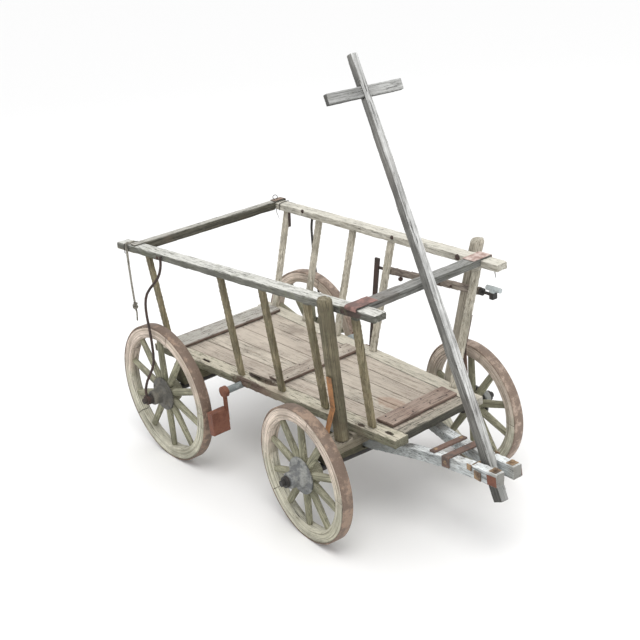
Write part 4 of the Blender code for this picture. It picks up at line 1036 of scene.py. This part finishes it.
def wires():
    """Wires round the rear bar's ends, an eye of wire on the left one, and two loose ends."""
    thick = 0.0013
    made = []
    for x, side, lean in ((-0.152, -1, 0.016), (-0.078, 1, 0.008)):
        outer, inner = top_half(x) + 0.0022, top_half(x) - 0.0485
        high, low = rail_top(x) + 0.0022, rail_top(x) - 0.0275
        loop = [
            (x, outer, low - 0.006), (x, outer + 0.001, low + 0.006), (x + 0.001, outer, high - 0.006),
            (x + 0.004, outer - 0.007, high), (x + lean, inner + 0.007, high),
            (x + lean, inner, high - 0.007), (x + lean, inner, low + 0.004),
        ]
        made.append(tube(smooth_path([spot(a, side * b, c) for a, b, c in loop], 4), thick))
    end = [(-0.100, 0.290, 0.741), (-0.104, 0.292, 0.728), (-0.098, 0.294, 0.712), (-0.094, 0.294, 0.700)]
    made.append(tube(smooth_path([spot(*point) for point in end], 4), thick, end_radius=0.0005))
    middle, across, size = spot(-0.111, 0.297, 0.7830), X * 0.6 + Y * 0.8, 0.0085
    turns = [2 * pi * k / 20 for k in range(-4, 15)]
    made.append(tube([middle + across * cos(turn) * size + Z * sin(turn) * size for turn in turns], thick))
    end = [(1.006, 0.245, 0.766), (1.008, 0.244, 0.752), (1.012, 0.243, 0.738)]
    made.append(tube([spot(*point) for point in end], 0.0018, end_radius=0.0008))
    piece("wires", mesh_of("wires", made, 60), dark, "cart")


def carriage_fixings():
    """Plates, nuts and bolts on the fork arms."""
    plates, nuts, side_plates = [], [], []
    tilt = (CARRIAGE_X * 0.9935 + Z * 0.114).normalized()
    up = tilt.cross(CARRIAGE_Y)
    nut_x, nut_y = (tilt + CARRIAGE_Y * 0.3).normalized(), (CARRIAGE_Y - tilt * 0.3).normalized()
    for side in (-1, 1):
        centre = carriage(0.503, side * 0.0325, fork_high(0.503) + 0.0002)
        plates.append(box_rings(centre + up * 0.0006, tilt, CARRIAGE_Y, up, (0.026, 0.024, 0.002)))
        nuts.append(box_rings(centre + up * 0.004, nut_x, nut_y, up, (0.0125, 0.0125, 0.006)))
        nuts.append(disc(centre, up, [(0.004, 0.0042), (0.0085, 0.0042), (0.0095, 0.0032)]))
    for side in (-1, 1):
        side_bolt = carriage(0.330, side * 0.0655, fork_high(0.330) - 0.014)
        nuts.append(dome(side_bolt, CARRIAGE_Y * side, 0.0065, 0.005))
    for side in (-1, 1):
        nuts.append(dome(carriage(0.270, side * 0.050, fork_high(0.270) + 0.0060), Z, 0.0065, 0.003))
    along = (CARRIAGE_X * 0.9945 + Z * 0.104).normalized()
    skew_x, skew_z = (CARRIAGE_X + Z).normalized(), (Z - CARRIAGE_X).normalized()
    for side in (-1, 1):
        plate = carriage(0.505, side * 0.0492, 0.302)
        side_plates.append(box_rings(plate, along, CARRIAGE_Y, along.cross(CARRIAGE_Y), (0.036, 0.0016, 0.030)))
        pivot_end = carriage(PIVOT[0], side * 0.0535, PIVOT[1])
        nuts.append(box_rings(pivot_end, skew_x, CARRIAGE_Y, skew_z, (0.013, 0.006, 0.013)))
    piece("fork_tip_plates", mesh_of("plates", plates, 30), golden, "front_carriage")
    piece("fork_nuts", mesh_of("nuts", nuts, 40), golden, "front_carriage")
    piece("fork_side_plates", mesh_of("side_plates", side_plates, 30), red_rust, "front_carriage")


def knot_and_tail(middle):
    """A round knot with a core, and three loose strands below it."""
    turns = []
    for k in range(61):
        share = k / 60
        angle = 2 * pi * 2.2 * share
        drop = Z * (0.0075 - 0.015 * share + 0.002 * sin(angle * 1.5))
        turns.append(middle + X * cos(angle) * 0.0072 + Y * sin(angle) * 0.0062 + drop)
    solids = [tube(turns, 0.0034), tube([middle + Z * 0.012, middle, middle - Z * 0.012], 0.0055)]
    tail = [middle - Z * 0.008, middle + Vector((0.001, 0.001, -0.028)), middle + Vector((0.0006, -0.0005, -0.0555))]
    tail = smooth_path(tail, 12)
    for k in range(3):
        twists = [6 * i / 3 + k * 2.09 for i in range(len(tail))]
        strand = [p + (X * cos(twist) + Y * sin(twist)) * 0.0018 for p, twist in zip(tail, twists)]
        solids.append(tube(strand, 0.0021, 7, 0.0015))
    return piece("knot_and_tail", mesh_of("knot", solids, 60), hemp, "cart", ("rope_knot",))


def rope():
    """Three strands twisted round the route, and the knot near the end."""
    x, radius, pitch, strand_count = -0.1335, 0.0045, 0.019, 3
    top = rail_top(x) + radius + 0.0006
    y = -(top_half(x) + radius + 0.0009)
    route = [
        (x, y + 0.034, top), (x, y + 0.014, top + 0.0003), (x, y + 0.0055, top + 0.0005),
        (x, y + 0.0008, top - 0.0008), (x, y - 0.0008, top - 0.0060), (x, y - 0.0004, top - 0.030),
        (x - 0.002, y, 0.70), (x - 0.003, y, 0.63), (x, y, 0.5563),
    ]
    path = smooth_path([spot(*point) for point in route], 12)
    length = sum((b - a).length for a, b in zip(path, path[1:]))
    strands = [[] for _ in range(strand_count)]
    gone = 0.0
    across = X
    for i, point in enumerate(path):
        ahead = heading(path, i)
        across = (across - ahead * across.dot(ahead)).normalized()
        other = ahead.cross(across)
        gone += (point - path[i - 1]).length if i else 0.0
        for k, strand in enumerate(strands):
            turn = gone / pitch * 2 * pi + k * 2 * pi / strand_count
            strand.append(point + (across * cos(turn) + other * sin(turn)) * radius * 0.47)
    mesh = mesh_of("rope", [tube(strand, radius * 0.53, 10) for strand in strands], 60)
    made = piece("twisted_rope", mesh, hemp, "cart", ("rope",))
    knot = knot_and_tail(spot(x, y, 0.543))
    tuple(path[0])
    [tuple(point) for point in path]


make_camera()
make_stage()
make_wheel("rear", "right", rust, hub_rear, 5)
make_wheel("front", "right", rust, hub_front, 16)
make_wheel("rear", "left", pale_rust, hub_rear, 27)
make_wheel("front", "left", pale_rust, hub_front, 38)
worn_wood()
floor_boards()
for node_name, node_iron in BARE_IRON.items():
    dress(node_name, node_iron)
crossbar_straps()
cart_fixings()
wires()
carriage_fixings()
rope()
